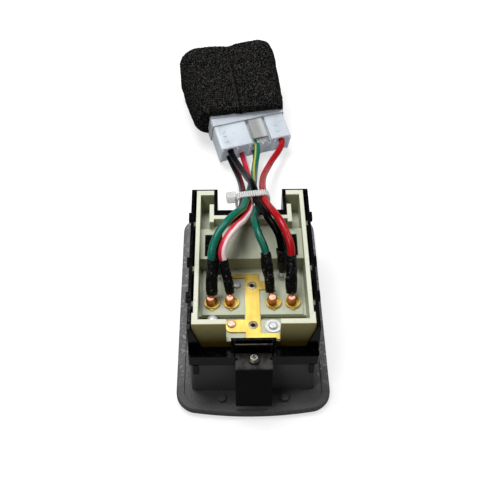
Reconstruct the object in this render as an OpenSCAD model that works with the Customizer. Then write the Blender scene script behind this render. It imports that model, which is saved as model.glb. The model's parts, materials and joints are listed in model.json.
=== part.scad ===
// Double power window switch, lying on its face with its terminal side up.
// Millimetres. X is its width, -Y the end with the spring clip, +Y the end that the wires leave.
// z = 0 is the face of the bezel, and y = 0 the line of the rocker axle.

/* [Bezel] */
// Width of the bezel
bezel_w = 54; // [52:0.5:60]
// Length of the bezel over its bowed ends
bezel_l = 98; // [97:0.5:110]
// Radius of the bezel's corners
bezel_corner_r = 8; // [6:0.5:10]
// Radius of the bowed ends
bezel_end_r = 125; // [110:5:200]
// Thickness of the bezel plate
bezel_t = 2.4; // [2:0.1:2.8]
// Width of the rim round the back of the plate
rim_w = 2.7; // [2:0.1:3]
// Height of the rim over the plate
rim_h = 0.6; // [0.4:0.1:1]
// Outer width of the collar
collar_w = 43.2; // [42.6:0.1:44]
// Axle line to the collar's near face
collar_near = 39.2; // [38.8:0.1:39.6]
// Axle line to the collar's far face
collar_far = 30.2; // [29.8:0.1:32]
// Thickness of the collar
collar_wall = 1.5; // [1.2:0.1:1.8]
// Height of the collar over the plate
collar_h = 15.9; // [15.5:0.1:17]
// Diameter of the two pegs
peg_d = 2.8; // [2:0.1:3]
// Height of the pegs
peg_h = 1.2; // [0.8:0.1:2]
// Spacing of the pegs
peg_pitch = 22; // [18:0.5:24]
// Pegs to the end of the bezel
peg_inset = 6.1; // [5.5:0.1:6.5]
// Width of the hook at the far end
hook_w = 12; // [8:0.5:20]
// Reach of the hook
hook_reach = 3.8; // [2.5:0.1:5]
// Thickness of the hook
hook_t = 2; // [1.5:0.1:3]

/* [Rockers] */
// Height of the axle over the bezel's face
pivot_h = 9.5; // [9:0.1:9.8]
// Diameter of the axle
axle_d = 2.9; // [2.4:0.1:3.1]
// Running clearance round the axle
axle_fit = 0.05; // [0.03:0.01:0.1]
// Gap between the two rockers
rocker_split = 0.7; // [0.6:0.1:1.2]
// Gap between a rocker and the skirt
rocker_side_gap = 0.4; // [0.35:0.05:0.8]
// Radius of the rocker ends about the axle
rocker_end_r = 22.9; // [21:0.1:23]
// Depth of the rocker face under the bezel's face
rocker_sunk = 2; // [1.8:0.1:2.4]
// Radius of the hollow rocker face
rocker_face_r = 152; // [120:1:200]
// Thickness of the rocker shell
rocker_wall = 1.6; // [1.2:0.1:2]
// Radius of the finger dishes
dish_r = 14; // [10:0.5:18]
// Depth of the finger dishes
dish_deep = 0.6; // [0.3:0.1:0.8]
// Axle line to the middle of a dish
dish_y = 13; // [12:0.5:15]

/* [Mechanism] */
// Centre line to the plungers and levers
lever_x = 6.5; // [6.2:0.1:7]
// Diameter of a plunger
plunger_d = 3; // [2.8:0.1:3.2]
// Clearance round a plunger
plunger_fit = 0.1; // [0.06:0.01:0.12]
// Width of a contact lever
lever_w = 4; // [3.4:0.1:4.4]
// Thickness of a contact lever
lever_t = 0.6; // [0.5:0.05:0.7]
// Axle line to the contact buttons
contact_y = 9; // [8.5:0.1:9.5]
// Diameter of the contact buttons
button_d = 2.4; // [2:0.1:2.8]
// Diameter of the rod that a lever rocks on
rod_d = 1.6; // [1.4:0.1:1.8]
// Clearance between rod and lever
rod_fit = 0.3; // [0.25:0.05:0.35]

/* [Housing] */
// Height of the band over the collar
band_h = 4.5; // [4.4:0.1:5]
// Overhang of the band past the collar
band_over = 0.5; // [0.4:0.1:0.8]
// Clearance between skirt and collar
skirt_gap = 0.3; // [0.2:0.05:0.5]
// Thickness of the skirt
skirt_wall = 1.2; // [1:0.1:1.4]
// Skirt's lower edge over the bezel's face
skirt_lift = 5; // [3.5:0.1:6]
// Thickness of the web over the rockers
web_t = 1.5; // [1.2:0.1:1.6]
// Thickness of the upright walls
wall_t = 1.1; // [0.9:0.1:1.3]
// Height of the upright walls over the band
wall_h = 11.5; // [10:0.1:12]
// Axle line to the near end of the upright walls
wall_near = 36.5; // [36.2:0.1:36.8]
// Half width of the wire notch in the far end
notch_half = 12.3; // [11.5:0.1:12.8]
// Axle line to the notch's inner wall
notch_y = 15.9; // [15.8:0.1:16.4]
// Thickness of the notch's inner wall
notch_wall = 3.4; // [2.5:0.1:3.6]
// Width of the hood behind the clip
hood_w = 15.2; // [14:0.1:17]
// Height of the hood over the band
hood_h = 6.2; // [5:0.1:7]
// Width of the clip's boss
boss_w = 12; // [11:0.1:13]
// Reach of the clip's boss
boss_reach = 4.7; // [4.4:0.1:4.7]

/* [Spring clip] */
// Thickness of the clip's sheet
clip_t = 0.8; // [0.6:0.05:1]
// Width of the clip
clip_w = 12.4; // [10.5:0.1:13]
// Height of the clip's back leg
clip_leg_h = 5.5; // [4:0.1:6]
// Length of the clip's leaf
leaf_l = 18.6; // [16:0.1:18.6]
// Outward lean of the leaf, in degrees
leaf_lean = 7; // [4:0.5:8]
// Diameter of the screw's head
screw_head_d = 3.9; // [3.4:0.1:4.6]
// Diameter of the screw's thread
screw_d = 2.4; // [2:0.1:2.6]

/* [Terminal base] */
// Height of the terminal base over the band
base_h = 12.3; // [11.8:0.1:13]
// Gap between the base and the upright walls
base_gap = 0.9; // [0.8:0.05:1]
// Thickness of its side walls
base_wall = 1.5; // [1.2:0.1:1.7]
// Thickness of its near wall
base_near_wall = 2.1; // [1.6:0.1:2.4]
// Thickness of its far walls
base_far_wall = 2.4; // [1.8:0.1:2.6]
// Thickness of its floor
floor_t = 1.6; // [1.4:0.1:2]
// Height of the floor's underside over the band
floor_rise = 1.3; // [1.3:0.1:1.5]
// Height of the deck over the floor
deck_h = 5.7; // [4.5:0.1:6]
// Axle line to the deck's near face
deck_near = 2.8; // [2.4:0.1:3]
// Axle line to the deck's far face
deck_far = 12.3; // [12:0.1:13]
// Width of the windows in the deck
window_w = 6.3; // [5.5:0.1:6.4]
// Length of the windows in the deck
window_l = 10.8; // [9:0.1:10.9]
// Centre line to the middle of a window
window_x = 13.65; // [13.5:0.05:13.8]
// Width of the gap in the near wall
gate_w = 18.1; // [16:0.1:19]
// Length of the snap tabs
tab_l = 2.2; // [1.6:0.1:2.4]
// Proud of the snap tabs
tab_out = 1.4; // [1.2:0.1:1.5]

/* [Terminals] */
// Diameter of the terminal cups
cup_d = 5.4; // [5:0.1:5.6]
// Axle line to the row of cups
cup_y = 18.9; // [18.6:0.1:19.2]
// Centre line to the inner cups
cup_in = 7.4; // [7.2:0.1:7.6]
// Centre line to the outer cups
cup_out = 14.1; // [13.9:0.1:14.3]
// Diameter of the copper posts
post_d = 3; // [2.6:0.1:3]
// Height of the copper posts over the floor
post_h = 3.2; // [2.8:0.1:3.4]
// Thickness of the earth strap
strap_t = 0.5; // [0.4:0.05:0.7]
// Width of the earth strap
strap_w = 5.1; // [4.6:0.1:5.4]
// Diameter of the washer under the earth rivet
washer_d = 5.6; // [5:0.1:5.8]
// Diameter of the rivet heads
rivet_d = 3.2; // [2.8:0.1:3.6]
// Outer diameter of the eyelets
eyelet_d = 3.4; // [3:0.1:3.8]

/* [Pigtail] */
// Outer diameter of a wire
wire_d = 2.7; // [2.2:0.1:2.8]
// Outer diameter of a shrink sleeve
sleeve_d = 3.8; // [3.5:0.05:3.85]
// Clearance between wire and sleeve
sleeve_fit = 0.1; // [0.05:0.05:0.2]
// Thickness of the cable tie
tie_t = 0.8; // [0.7:0.05:1]
// Width of the cable tie
tie_w = 2.8; // [2.4:0.1:3]

/* [Connector and foam] */
// Width of the connector
plug_w = 33; // [32.6:0.1:34]
// Height of the connector
plug_h = 11; // [10.8:0.1:11.4]
// Length of the connector
plug_l = 30; // [28:0.5:34]
// Length of the connector that the foam leaves open
plug_bare = 15.5; // [14.5:0.5:17]
// Diameter of the wire bores
cavity_d = 3.4; // [3.3:0.05:3.5]
// Depth of the wire bores
cavity_deep = 5; // [4.5:0.5:8]
// Width of the foam sleeve where it grips the connector
foam_near_w = 41; // [39:0.5:43]
// Width of the foam sleeve at its far end
foam_w = 44.5; // [44:0.5:50]
// Length of the foam sleeve
foam_l = 39; // [34:0.5:44]
// Height of the foam's near edge
foam_low = 22.5; // [21.5:0.5:24]
// Height of the foam's far edge
foam_high = 27; // [25:0.5:30]
// Clearance between foam and connector
foam_fit = 0.3; // [0.2:0.1:0.6]

/* [Hidden] */
$fn = 72;
eps = 0.01;

// Levels, from the bezel's face up
collar_top = bezel_t + collar_h;
band_top = collar_top + band_h;
wall_top = band_top + wall_h;
web_z = collar_top - web_t;
floor_under = band_top + floor_rise;
floor_top = floor_under + floor_t;
low_floor_t = 1;
low_floor_top = band_top + low_floor_t;
deck_top = floor_top + deck_h;
base_top = band_top + base_h;

// Bezel outline: each corner arc turns through corner_turn and runs into the end arc
corner_turn = 73;
end_cy = bezel_l / 2 - bezel_end_r;
corner_x = bezel_w / 2 - bezel_corner_r;
corner_meet = corner_x + bezel_corner_r * cos(corner_turn);
corner_y = end_cy + sqrt(pow(bezel_end_r, 2) - pow(corner_meet, 2))
    - bezel_corner_r * sin(corner_turn);
rim_chamfer = 0.4;
face_round = 1;

// Collar and what nests in it
collar_in = collar_w / 2 - collar_wall;
skirt_out = collar_in - skirt_gap;
skirt_in = skirt_out - skirt_wall;
skirt_near = collar_near - collar_wall - skirt_gap;
skirt_far = collar_far - collar_wall - skirt_gap;
band_half = collar_w / 2 + band_over;
band_near = collar_near + band_over;
band_far = collar_far + band_over;
well_half = skirt_in + 0.4;
well_length = rocker_end_r + 0.4;

// Housing details
chamber_near = 33.5;
chamber_far = band_far - 3.7;
gusset_t = 1;
gusset_foot = 4.5;
gusset_top = 1.5;
snap_y = [16.5, -6.1, -22.2];
snap_l = 7;
snap_floor = 5.6;
snap_loop_h = 2;
snap_bulge = 0.8;
snap_hook_x = 19.8;
snap_hook_w = 1.8;
snap_hook_h = 4.8;
snap_hook_t = 0.6;
hook_gap = 0.1;
hood_t = 1;
hood_gap = 0.1;
boss_h = 6.8;
block_h = 8.6;
block_fit = 0.4;
ridge_h = 1;

// Rockers
rocker_in = rocker_split / 2;
rocker_out = skirt_in - rocker_side_gap;
rocker_top = pivot_h;
tower_half = 2.6;
tower_gap = 0.8;
tower_top = web_z - tower_gap;
bore_floor = pivot_h + 2.5;
axle_press = 0.02;
axle_half = skirt_out - eps;
boss_wall = 1.4;

// Plungers and levers
plunger_gap = 0.35;
rod_z = band_top - 1.2;
trough_top = rod_z - 1.65;
trough_drop = 0.85;
trough_half = 1.3;
trough_reach = 3.2;
tip_z = trough_top - plunger_gap - plunger_d / 2;
plunger_foot = bore_floor + 1.4;
plunger_bore = plunger_d - 0.7;
plunger_bore_top = tip_z - 2.1;
spring_d = plunger_bore - 0.2;
spring_wire = 0.34;
spring_turns = 7;
spring_play = 0.8;
spring_top = plunger_bore_top - spring_play;
slot_half_x = plunger_d / 2 + 0.9;
slot_half_y = plunger_d / 2 + 1.7;
arm_reach = contact_y + 1.2;
button_t = 0.4;
ear_t = 0.5;
ear_gap = 0.35;
ear_half = 1.6;
ear_under = 1.4;
cradle_t = 0.5;
fixed_plate_t = 0.6;
fixed_button_t = 0.6;
fixed_plate_w = 4;
fixed_plate_l = 5;

// Terminal base
base_half = band_half - wall_t - base_gap;
base_in = base_half - base_wall;
base_near = wall_near - 1.1;
base_far = band_far - wall_t - 0.4;
foot_w = 0.5;
foot_l = 4.9;
floor_near = base_near - base_near_wall;
floor_far = base_far - base_far_wall;
shelf_y = 23.9;
gate_x = -0.1;
tongue_y = 26.4;
spine_half = 2.8;
mid_wall_gap = 0.2;
mid_wall = 1.8;
horn_in = notch_half + 1.3;
horn_wall = 1.6;
horn_cut_y = 21.6;
horn_sill = 0.3;
window_y = 3.9;
groove_w = 1.1;
groove_deep = 0.7;
tab_h = 2.3;
tab_top = wall_top - snap_loop_h - 0.3;
tab_y = [14.3, -8, -24];
stem_d = 1.8;
stem_fit = 0.05;

// Strap, eyelets and rivets
strap_end_near = 35;
strap_end_far = 5.5;
lobe = [-9.4, -31.8, 5.4];
lobe_r = 2.2;
foot_x = 8.9;
foot_y = [-34.9, -32.4];
branch_x = 4.8;
branch_y = [-12.9, -8.9];
top_bar = [-7, 2, -7.3, -5.6];
eyelet_y = [-28.9, -11.1];
eyelet_flare = 0.25;
stake_at = [-7.4, -28.4];
earth_at = [6.8, -29.2];
corner_rivet_at = [-13.9, -26];
deck_rivet_at = [-5.5, -10.4];
washer_t = 0.4;
head_t = 0.8;

// Cups and posts: the posts stand a little off the cups' middle
cup_base_t = 0.5;
cup_rim_t = 0.4;
cup_rim_w = 0.45;
cup_point = 3.4;
post_off = 0.5;
post_back = 0.2;
tail_d = wire_d - 0.1;
tail_in = 4;
elbow = 0.4;
post_edge = 0.35;
stub_tail_d = 1.8;
tail_drop = 1.3;

// Sleeves, from the foot of each to its mouth
sleeve_foot = [[-14.1, -17.6, 29.2], [-7.7, -16.9, 29.2], [6.4, -16.4, 29],
    [13.5, -17.2, 29.2], [-11.6, -6.6, 28.4], [11.2, -6.4, 28.6]];
sleeve_mouth = [[-13.9, -10.8, 40], [-10, -11, 40], [4.6, -7.9, 40],
    [13.5, -9.2, 40], [-12.2, -4.6, 37.5], [10.4, -4, 37.5]];

// Wire routes, from inside the sleeve to inside the connector
green_yellow_route = [[-14, -11.7, 38.5], [-14, -9.5, 42], [-12.3, -5, 45], [-8.9, 0.5, 46.5],
    [-5.4, 7.2, 44.5], [-3, 13.4, 41], [-1.6, 20.6, 38.2], [-1.2, 26, 35.4], [0, 33.6, 31],
    [1.4, 45.5, 23.5], [2.2, 58.5, 14.8], [3, 72, 8.6], [4.6, 87, 7.4], [3.1, 91.5, 9.1]];
black_route = [[10.5, -4.5, 35.5], [10.2, -3.5, 39.5], [9, -1, 43], [6.2, 4, 44.5],
    [4.8, 9, 43.3], [3.4, 14.8, 40.8], [2.1, 21, 38.2], [1.6, 26.9, 37.7], [0.6, 34.2, 34.8],
    [-0.5, 44.4, 27.8], [-1.3, 55.2, 20], [-2.7, 66.9, 12.4], [-6.8, 83.3, 7.4],
    [-8.3, 87.8, 9.1]];
red_route = [[13.5, -10.3, 38.5], [13.4, -7.7, 42], [12.2, -4, 44.5], [9.8, 2, 46],
    [7.8, 8, 44.4], [6.4, 14.2, 41.3], [5.1, 21.4, 38.2], [5, 28.4, 35.2], [5.2, 39, 28.2],
    [5.8, 50.9, 20.6], [7.2, 63.8, 13], [10.6, 77, 8.2], [16, 90.7, 7.4], [14.5, 95.2, 9.1]];
red_white_route = [[-9.5, -12, 38], [-10.4, -10, 42], [-9.2, -6.5, 44.5], [-6.1, -1.5, 45.5],
    [-3.4, 4.9, 42.5], [-2, 10.4, 39.4], [-0.5, 16.2, 36.7], [0, 21.4, 35.3], [0, 28, 31.2],
    [0.4, 38.4, 23.7], [0.5, 50.9, 15.3], [1.3, 63.8, 7.4], [0.4, 75, 2.8], [-1.6, 86.9, 2.4],
    [-3.1, 91.4, 4.1]];
black_red_route = [[-12, -5, 35.5], [-12.5, -4, 39.5], [-12, -1.5, 42.5], [-9.5, 3, 43],
    [-7, 8, 40.4], [-4.5, 14, 37.3], [-3, 20.5, 35.4], [-2.8, 27.4, 32.2], [-2.6, 37.9, 25.2],
    [-2.6, 49.8, 16.8], [-3, 61.7, 9.2], [-4.2, 73, 4], [-7.3, 85, 2.4], [-8.8, 89.5, 4.1]];
green_black_route = [[5.1, -10.2, 37], [4.4, -7.1, 41], [2.5, -3, 43.5], [1.4, 3, 43.3],
    [1.2, 9, 40.3], [2.2, 15.2, 36.9], [3, 21.4, 35.3], [3.6, 28.4, 31.4], [3.7, 38, 23],
    [3.3, 50, 12.8], [2.6, 63, 4.2], [3.2, 76, 1.8], [4.1, 88.7, 2.4], [2.6, 93.2, 4.1]];
wire_sides = 8;

// Cable tie round the bundle
tie_at = [0.9, 21.8, 36.2];
tie_yaw = 8;
tie_in = [11.4, 7.4];
tie_corner = 1.8;
tie_head = [4.2, 4.8, 4.4];
tie_head_up = 0.6;

// Connector pose, its cavities and the foam round it
plug_at = [-12.5, 86.2, 0.3];
plug_pitch = 20;
plug_yaw = 18;
cavity_u = [4.5, 10.5, 16.5, 22.5, 28.5];
cavity_v = [2.9, 8.2];
used_cavities = [[4.5, 8.2], [16.5, 8.2], [28.5, 8.2], [4.5, 2.9], [10.5, 2.9], [16.5, 2.9]];
pin_d = 1.6;
crimp_d = 2.2;
wire_end = 3.24;
front_wall = 4;
socket_l = 8;
latch_u = 14.6;
latch_w = 9.3;
latch_deep = 1.2;
lance_u = [2, 29];
lance_t = 8;
collar_band_t = 3.4;
collar_band_wall = 0.6;
foam_shift = -2;
foam_yaw = 10;
foam_round = 8;
foam_lean = foam_low / 2 * tan(plug_pitch);
foam_mouth_w = 26;
foam_mouth_from = 12;
foam_mouth_x = 0;
foam_mouth_z = [10, 21];

grey = [0.38, 0.38, 0.4];
black = [0.09, 0.09, 0.1];
cream = [0.86, 0.87, 0.76];
brass = [0.85, 0.68, 0.3];
copper = [0.8, 0.5, 0.38];
steel = [0.66, 0.68, 0.7];
foam_black = [0.12, 0.12, 0.13];
clear_white = [0.87, 0.9, 0.93];

// A box between two values on each axis
module block(x, y, z) {
    translate([x[0], y[0], z[0]])
        cube([x[1] - x[0], y[1] - y[0], z[1] - z[0]]);
}

// Its children and their mirror image across the centre line
module both_sides() {
    children();
    mirror([1, 0, 0]) children();
}

// A flat shape drawn in y and z, made thick along X
module along_x(x) {
    translate([x[0], 0, 0]) rotate([90, 0, 90])
        linear_extrude(x[1] - x[0]) children();
}

// A flat shape drawn in x and z, made thick along Y
module along_y(y) {
    translate([0, y[1], 0]) rotate([90, 0, 0])
        linear_extrude(y[1] - y[0]) children();
}

module round_rect(w, l, r) {
    square([w - 2 * r, l], center = true);
    square([w, l - 2 * r], center = true);
    for (x = [-1, 1], y = [-1, 1])
        translate([x * (w / 2 - r), y * (l / 2 - r)]) circle(r);
}

// Half section of the bezel's edge, r out from its own middle
module edge_section(r) {
    top = bezel_t + rim_h;
    polygon([[0, 0], [r - face_round, 0], [r - face_round * 0.3, face_round * 0.3],
        [r, face_round], [r, top - rim_chamfer], [r - rim_chamfer, top], [0, top]]);
}

// Solid outline of the bezel: bowed ends, straight sides and turned corners
module bezel_blank() {
    intersection() {
        translate([0, end_cy, 0]) rotate_extrude($fn = 360) edge_section(bezel_end_r);
        translate([0, -end_cy, 0]) rotate_extrude($fn = 360) edge_section(bezel_end_r);
        union() {
            along_y([-corner_y, corner_y]) for (m = [0, 1]) mirror([m, 0])
                edge_section(bezel_w / 2);
            block([-corner_x, corner_x], [-bezel_l / 2, bezel_l / 2], [0, bezel_t + rim_h]);
            for (x = [-1, 1], y = [-1, 1]) translate([x * corner_x, y * corner_y, 0])
                rotate_extrude() edge_section(bezel_corner_r);
        }
    }
}

// Floor plan inside the rim
module rim_inside() {
    intersection() {
        translate([0, end_cy]) circle(bezel_end_r - rim_w, $fn = 360);
        translate([0, -end_cy]) circle(bezel_end_r - rim_w, $fn = 360);
        round_rect(bezel_w - 2 * rim_w, 2 * (corner_y + bezel_corner_r - rim_w),
            bezel_corner_r - rim_w);
    }
}

module collar_ring(inset, near, far, wall, z) {
    w = collar_w - 2 * inset;
    translate([0, (far - near) / 2, z[0]]) linear_extrude(z[1] - z[0]) difference() {
        round_rect(w, near + far, 1.5);
        square([w - 2 * wall, near + far - 2 * wall], center = true);
    }
}

module bezel() {
    color(grey) {
        difference() {
            bezel_blank();
            translate([0, 0, bezel_t]) linear_extrude(rim_h + 1) rim_inside();
            block([-well_half, well_half], [-well_length, well_length], [-1, bezel_t + 1]);
        }
        collar_ring(0, collar_near, collar_far, collar_wall, [bezel_t - eps, collar_top]);
        for (x = [-1, 1])
            translate([x * peg_pitch / 2, peg_inset - bezel_l / 2, bezel_t - eps])
            cylinder(h = peg_h, d = peg_d);
        panel_hook();
    }
}

// Hook that tucks under the panel at the wire end
module panel_hook() {
    low = bezel_t + 5.6;
    along_x([-hook_w / 2, hook_w / 2]) polygon([[collar_far - eps, low],
        [collar_far + hook_reach, low], [collar_far + hook_reach, low + hook_t * 0.5],
        [collar_far + hook_reach - 0.6, low + hook_t], [collar_far - eps, low + hook_t + 1.5]]);
}

// Side view of a rocker, drawn in by an inset
module rocker_side(inset) {
    intersection() {
        translate([0, pivot_h]) circle(rocker_end_r - inset, $fn = 180);
        translate([0, rocker_sunk + rocker_face_r]) circle(rocker_face_r - inset, $fn = 720);
        translate([-rocker_end_r, -1]) square([2 * rocker_end_r, rocker_top + 1]);
    }
}

module rocker() {
    core = axle_d / 2 + axle_fit + boss_wall;
    face_z = rocker_sunk + rocker_face_r - sqrt(pow(rocker_face_r, 2) - pow(dish_y, 2));
    difference() {
        union() {
            difference() {
                along_x([rocker_in, rocker_out]) rocker_side(0);
                for (m = [0, 1]) mirror([0, m, 0]) intersection() {
                    along_x([rocker_in + rocker_wall, rocker_out - rocker_wall])
                        translate([0, eps]) rocker_side(rocker_wall);
                    block([rocker_in, rocker_out], [core, rocker_end_r], [0, rocker_top + 1]);
                }
            }
            along_x([rocker_in, rocker_out]) translate([0, pivot_h]) circle(core);
            block([lever_x - tower_half, lever_x + tower_half], [-tower_half, tower_half],
                [pivot_h - 1, tower_top]);
        }
        along_x([rocker_in - 1, rocker_out + 1])
            translate([0, pivot_h]) circle(axle_d / 2 + axle_fit);
        translate([lever_x, 0, bore_floor])
            cylinder(h = tower_top - bore_floor + 1, d = plunger_d + 2 * plunger_fit);
        for (y = [-dish_y, dish_y])
            along_x([rocker_in - 1, rocker_out + 1])
            translate([y, face_z + dish_deep - dish_r]) circle(dish_r);
    }
}

module rocker_right() {
    color(black) rocker();
}

module rocker_left() {
    color(black) mirror([1, 0, 0]) rocker();
}

module rocker_axle() {
    color(steel) along_x([-axle_half, axle_half]) translate([0, pivot_h]) circle(d = axle_d);
}

module plunger() {
    translate([lever_x, 0, 0]) rotate_extrude() difference() {
        intersection() {
            union() {
                translate([0, tip_z]) circle(d = plunger_d);
                translate([-plunger_d / 2, plunger_foot])
                    square([plunger_d, tip_z - plunger_foot]);
            }
            translate([0, plunger_foot]) square([plunger_d, tip_z + plunger_d]);
        }
        translate([0, plunger_foot - 1])
            square([plunger_bore / 2, plunger_bore_top - plunger_foot + 1]);
    }
}

module plunger_right() {
    color(brass) plunger();
}

module plunger_left() {
    color(brass) mirror([1, 0, 0]) plunger();
}

// Closely wound spring, its turns as rings on a thin sleeve
module plunger_spring() {
    pitch = (spring_top - bore_floor - spring_wire) / (spring_turns - 1);
    mid_r = (spring_d - spring_wire) / 2;
    translate([lever_x, 0, bore_floor]) {
        for (i = [0 : spring_turns - 1])
            translate([0, 0, spring_wire / 2 + i * pitch])
            rotate_extrude() translate([mid_r, 0]) circle(d = spring_wire, $fn = 16);
        translate([0, 0, spring_wire / 2]) difference() {
            cylinder(h = pitch * (spring_turns - 1), r = mid_r + 0.05);
            translate([0, 0, -1])
                cylinder(h = pitch * (spring_turns - 1) + 2, r = mid_r - 0.05);
        }
    }
}

module plunger_spring_right() {
    color(steel) plunger_spring();
}

module plunger_spring_left() {
    color(steel) mirror([1, 0, 0]) plunger_spring();
}

// Lever that hangs on its rod by a half ring and tips either button up
module contact_lever() {
    ring_in = rod_d / 2 + rod_fit;
    ring_out = ring_in + lever_t;
    along_x([lever_x - lever_w / 2, lever_x + lever_w / 2]) {
        difference() {
            translate([0, rod_z]) circle(ring_out);
            translate([0, rod_z]) circle(ring_in);
            translate([-ring_out, rod_z]) square([2 * ring_out, ring_out + 1]);
        }
        for (m = [0, 1]) mirror([m, 0]) {
            translate([ring_in + eps, rod_z - lever_t]) square([arm_reach - ring_in, lever_t]);
            polygon([[trough_half, trough_top], [trough_reach, trough_top - trough_drop],
                [trough_reach + lever_t, trough_top - trough_drop],
                [trough_reach + lever_t, rod_z - lever_t + eps],
                [trough_reach, rod_z - lever_t + eps], [trough_half, trough_top + 0.4]]);
        }
    }
    for (y = [-contact_y, contact_y])
        translate([lever_x, y, rod_z - eps]) cylinder(h = button_t, d = button_d);
}

module contact_lever_right() {
    color(brass) contact_lever();
}

module contact_lever_left() {
    color(brass) mirror([1, 0, 0]) contact_lever();
}

// Cradle under the floor: a plate, two ears and the rod between them
module lever_cradle() {
    ear_x = lever_w / 2 + ear_gap;
    half = ear_x + ear_t;
    block([lever_x - half, lever_x + half], [-ear_half, ear_half],
        [floor_under - cradle_t, floor_under]);
    for (m = [-1, 1])
        along_x([lever_x + m * (ear_x + ear_t / 2) - ear_t / 2,
            lever_x + m * (ear_x + ear_t / 2) + ear_t / 2]) {
            translate([0, rod_z]) circle(ear_under);
            translate([-ear_under, rod_z])
                square([2 * ear_under, floor_under - rod_z - cradle_t / 2]);
        }
    along_x([lever_x - half, lever_x + half]) translate([0, rod_z]) circle(d = rod_d);
}

module lever_cradle_right() {
    color(steel) lever_cradle();
}

module lever_cradle_left() {
    color(steel) mirror([1, 0, 0]) lever_cradle();
}

module fixed_contact(y) {
    plate_z = floor_under - fixed_plate_t;
    color(brass) {
        translate([0, y, plate_z])
            block([-fixed_plate_w / 2, fixed_plate_w / 2], [-fixed_plate_l / 2, fixed_plate_l / 2],
            [0, fixed_plate_t]);
        translate([0, y, plate_z - fixed_button_t])
            cylinder(h = fixed_button_t + eps, d = button_d);
    }
}

module fixed_contact_near_left() {
    translate([-lever_x, 0, 0]) fixed_contact(-contact_y);
}

module fixed_contact_far_left() {
    translate([-lever_x, 0, 0]) fixed_contact(contact_y);
}

module fixed_contact_near_right() {
    translate([lever_x, 0, 0]) fixed_contact(-contact_y);
}

module fixed_contact_far_right() {
    translate([lever_x, 0, 0]) fixed_contact(contact_y);
}

// Skirt that drops into the collar, with the web that closes it over the rockers
module housing_skirt() {
    difference() {
        union() {
            collar_ring(collar_wall + skirt_gap, skirt_near, skirt_far, skirt_wall,
                [skirt_lift, collar_top + eps]);
            block([-skirt_in - eps, skirt_in + eps],
                [skirt_wall - skirt_near - eps, skirt_far - skirt_wall + eps],
                [web_z, collar_top + eps]);
        }
        for (x = [-lever_x, lever_x])
            block([x - slot_half_x, x + slot_half_x], [-slot_half_y, slot_half_y],
            [web_z - 1, collar_top + 1]);
        along_x([-skirt_out - 1, skirt_out + 1])
            translate([0, pivot_h]) circle(axle_d / 2 + axle_press);
    }
}

// Upright wall on one side, with three windows closed by loops that snap over the tabs
module housing_side_wall() {
    difference() {
        block([band_half - wall_t, band_half], [-wall_near, band_far], [band_top - eps, wall_top]);
        for (y = snap_y)
            block([band_half - wall_t - 1, band_half + 1], [y - snap_l / 2, y + snap_l / 2],
            [band_top + snap_floor, wall_top - snap_loop_h]);
    }
    for (y = snap_y)
        block([band_half - eps, band_half + snap_bulge], [y - snap_l / 4, y + snap_l / 4],
            [wall_top - snap_loop_h, wall_top - 0.2]);
    along_y([-wall_near, gusset_t - wall_near]) polygon([[band_half, band_top - eps],
        [band_half - gusset_foot, band_top - eps], [band_half - gusset_top, wall_top - 1.3],
        [band_half, wall_top]]);
    block([notch_half, band_half], [band_far - wall_t, band_far], [band_top - eps, wall_top]);
    block([notch_half, notch_half + wall_t], [notch_y + notch_wall, band_far],
        [band_top - eps, wall_top]);
}

// Black block that stands in a window of the deck, with a ridge across it
module window_block() {
    x = window_w / 2 - block_fit;
    y = window_l / 2 - block_fit;
    translate([window_x, window_y, 0]) {
        block([-x, x], [-y, y], [collar_top - eps, band_top + block_h]);
        along_x([-x, x]) polygon([[0.2, band_top + block_h - eps],
            [0.7, band_top + block_h + ridge_h], [1.5, band_top + block_h + ridge_h],
            [2, band_top + block_h - eps]]);
    }
}

module housing_hood() {
    back = wall_near - hood_gap;
    front = band_near;
    half = hood_w / 2;
    block([-half, half], [-back - hood_t, -back], [band_top - eps, band_top + hood_h]);
    for (x = [-1, 1])
        along_x([x * (half - hood_t / 2) - hood_t / 2, x * (half - hood_t / 2) + hood_t / 2])
        polygon([[-back, band_top - eps], [-back, band_top + hood_h],
            [-back - hood_t, band_top + hood_h], [-front, band_top + 2],
            [-front, band_top - eps]]);
}

// Boss that carries the clip, with its screw hole
module housing_boss() {
    difference() {
        along_x([-boss_w / 2, boss_w / 2]) polygon([[-band_near + eps, band_top - boss_h],
            [-band_near + eps, band_top], [-band_near - boss_reach, band_top],
            [-band_near - boss_reach, band_top - boss_h + 3],
            [-band_near - 1, band_top - boss_h]]);
        translate([0, screw_y, band_top - boss_h - 1])
            cylinder(h = boss_h + 2, d = screw_d + 0.2);
    }
}

module housing() {
    color(black) {
        housing_skirt();
        difference() {
            translate([0, (band_far - band_near) / 2, collar_top]) linear_extrude(band_h)
                round_rect(2 * band_half, band_near + band_far, 0.8);
            block([-skirt_in, skirt_in], [-chamber_near, chamber_far],
                [collar_top - 1, band_top + 1]);
        }
        both_sides() housing_side_wall();
        block([-notch_half - wall_t, notch_half + wall_t], [notch_y, notch_y + notch_wall],
            [band_top - eps, wall_top]);
        both_sides() window_block();
        housing_hood();
        housing_boss();
        both_sides() block([snap_hook_x - snap_hook_w / 2, snap_hook_x + snap_hook_w / 2],
            [-collar_near - hook_gap - snap_hook_t, -collar_near - hook_gap],
            [collar_top - snap_hook_h, collar_top + eps]);
    }
}

// Clip: a plate under the screw, a leg up behind it and a leaf down the near end
screw_y = -band_near - 1.9;
clip_back = -band_near + 1.3;
clip_front = -band_near - boss_reach - clip_t - 0.1;

module clip_side() {
    translate([clip_front, band_top]) square([clip_back - clip_front, clip_t]);
    translate([clip_back - clip_t, band_top]) square([clip_t, clip_leg_h]);
    translate([clip_front, band_top + clip_t]) rotate(-leaf_lean)
        translate([0, -leaf_l]) square([clip_t, leaf_l]);
}

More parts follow.
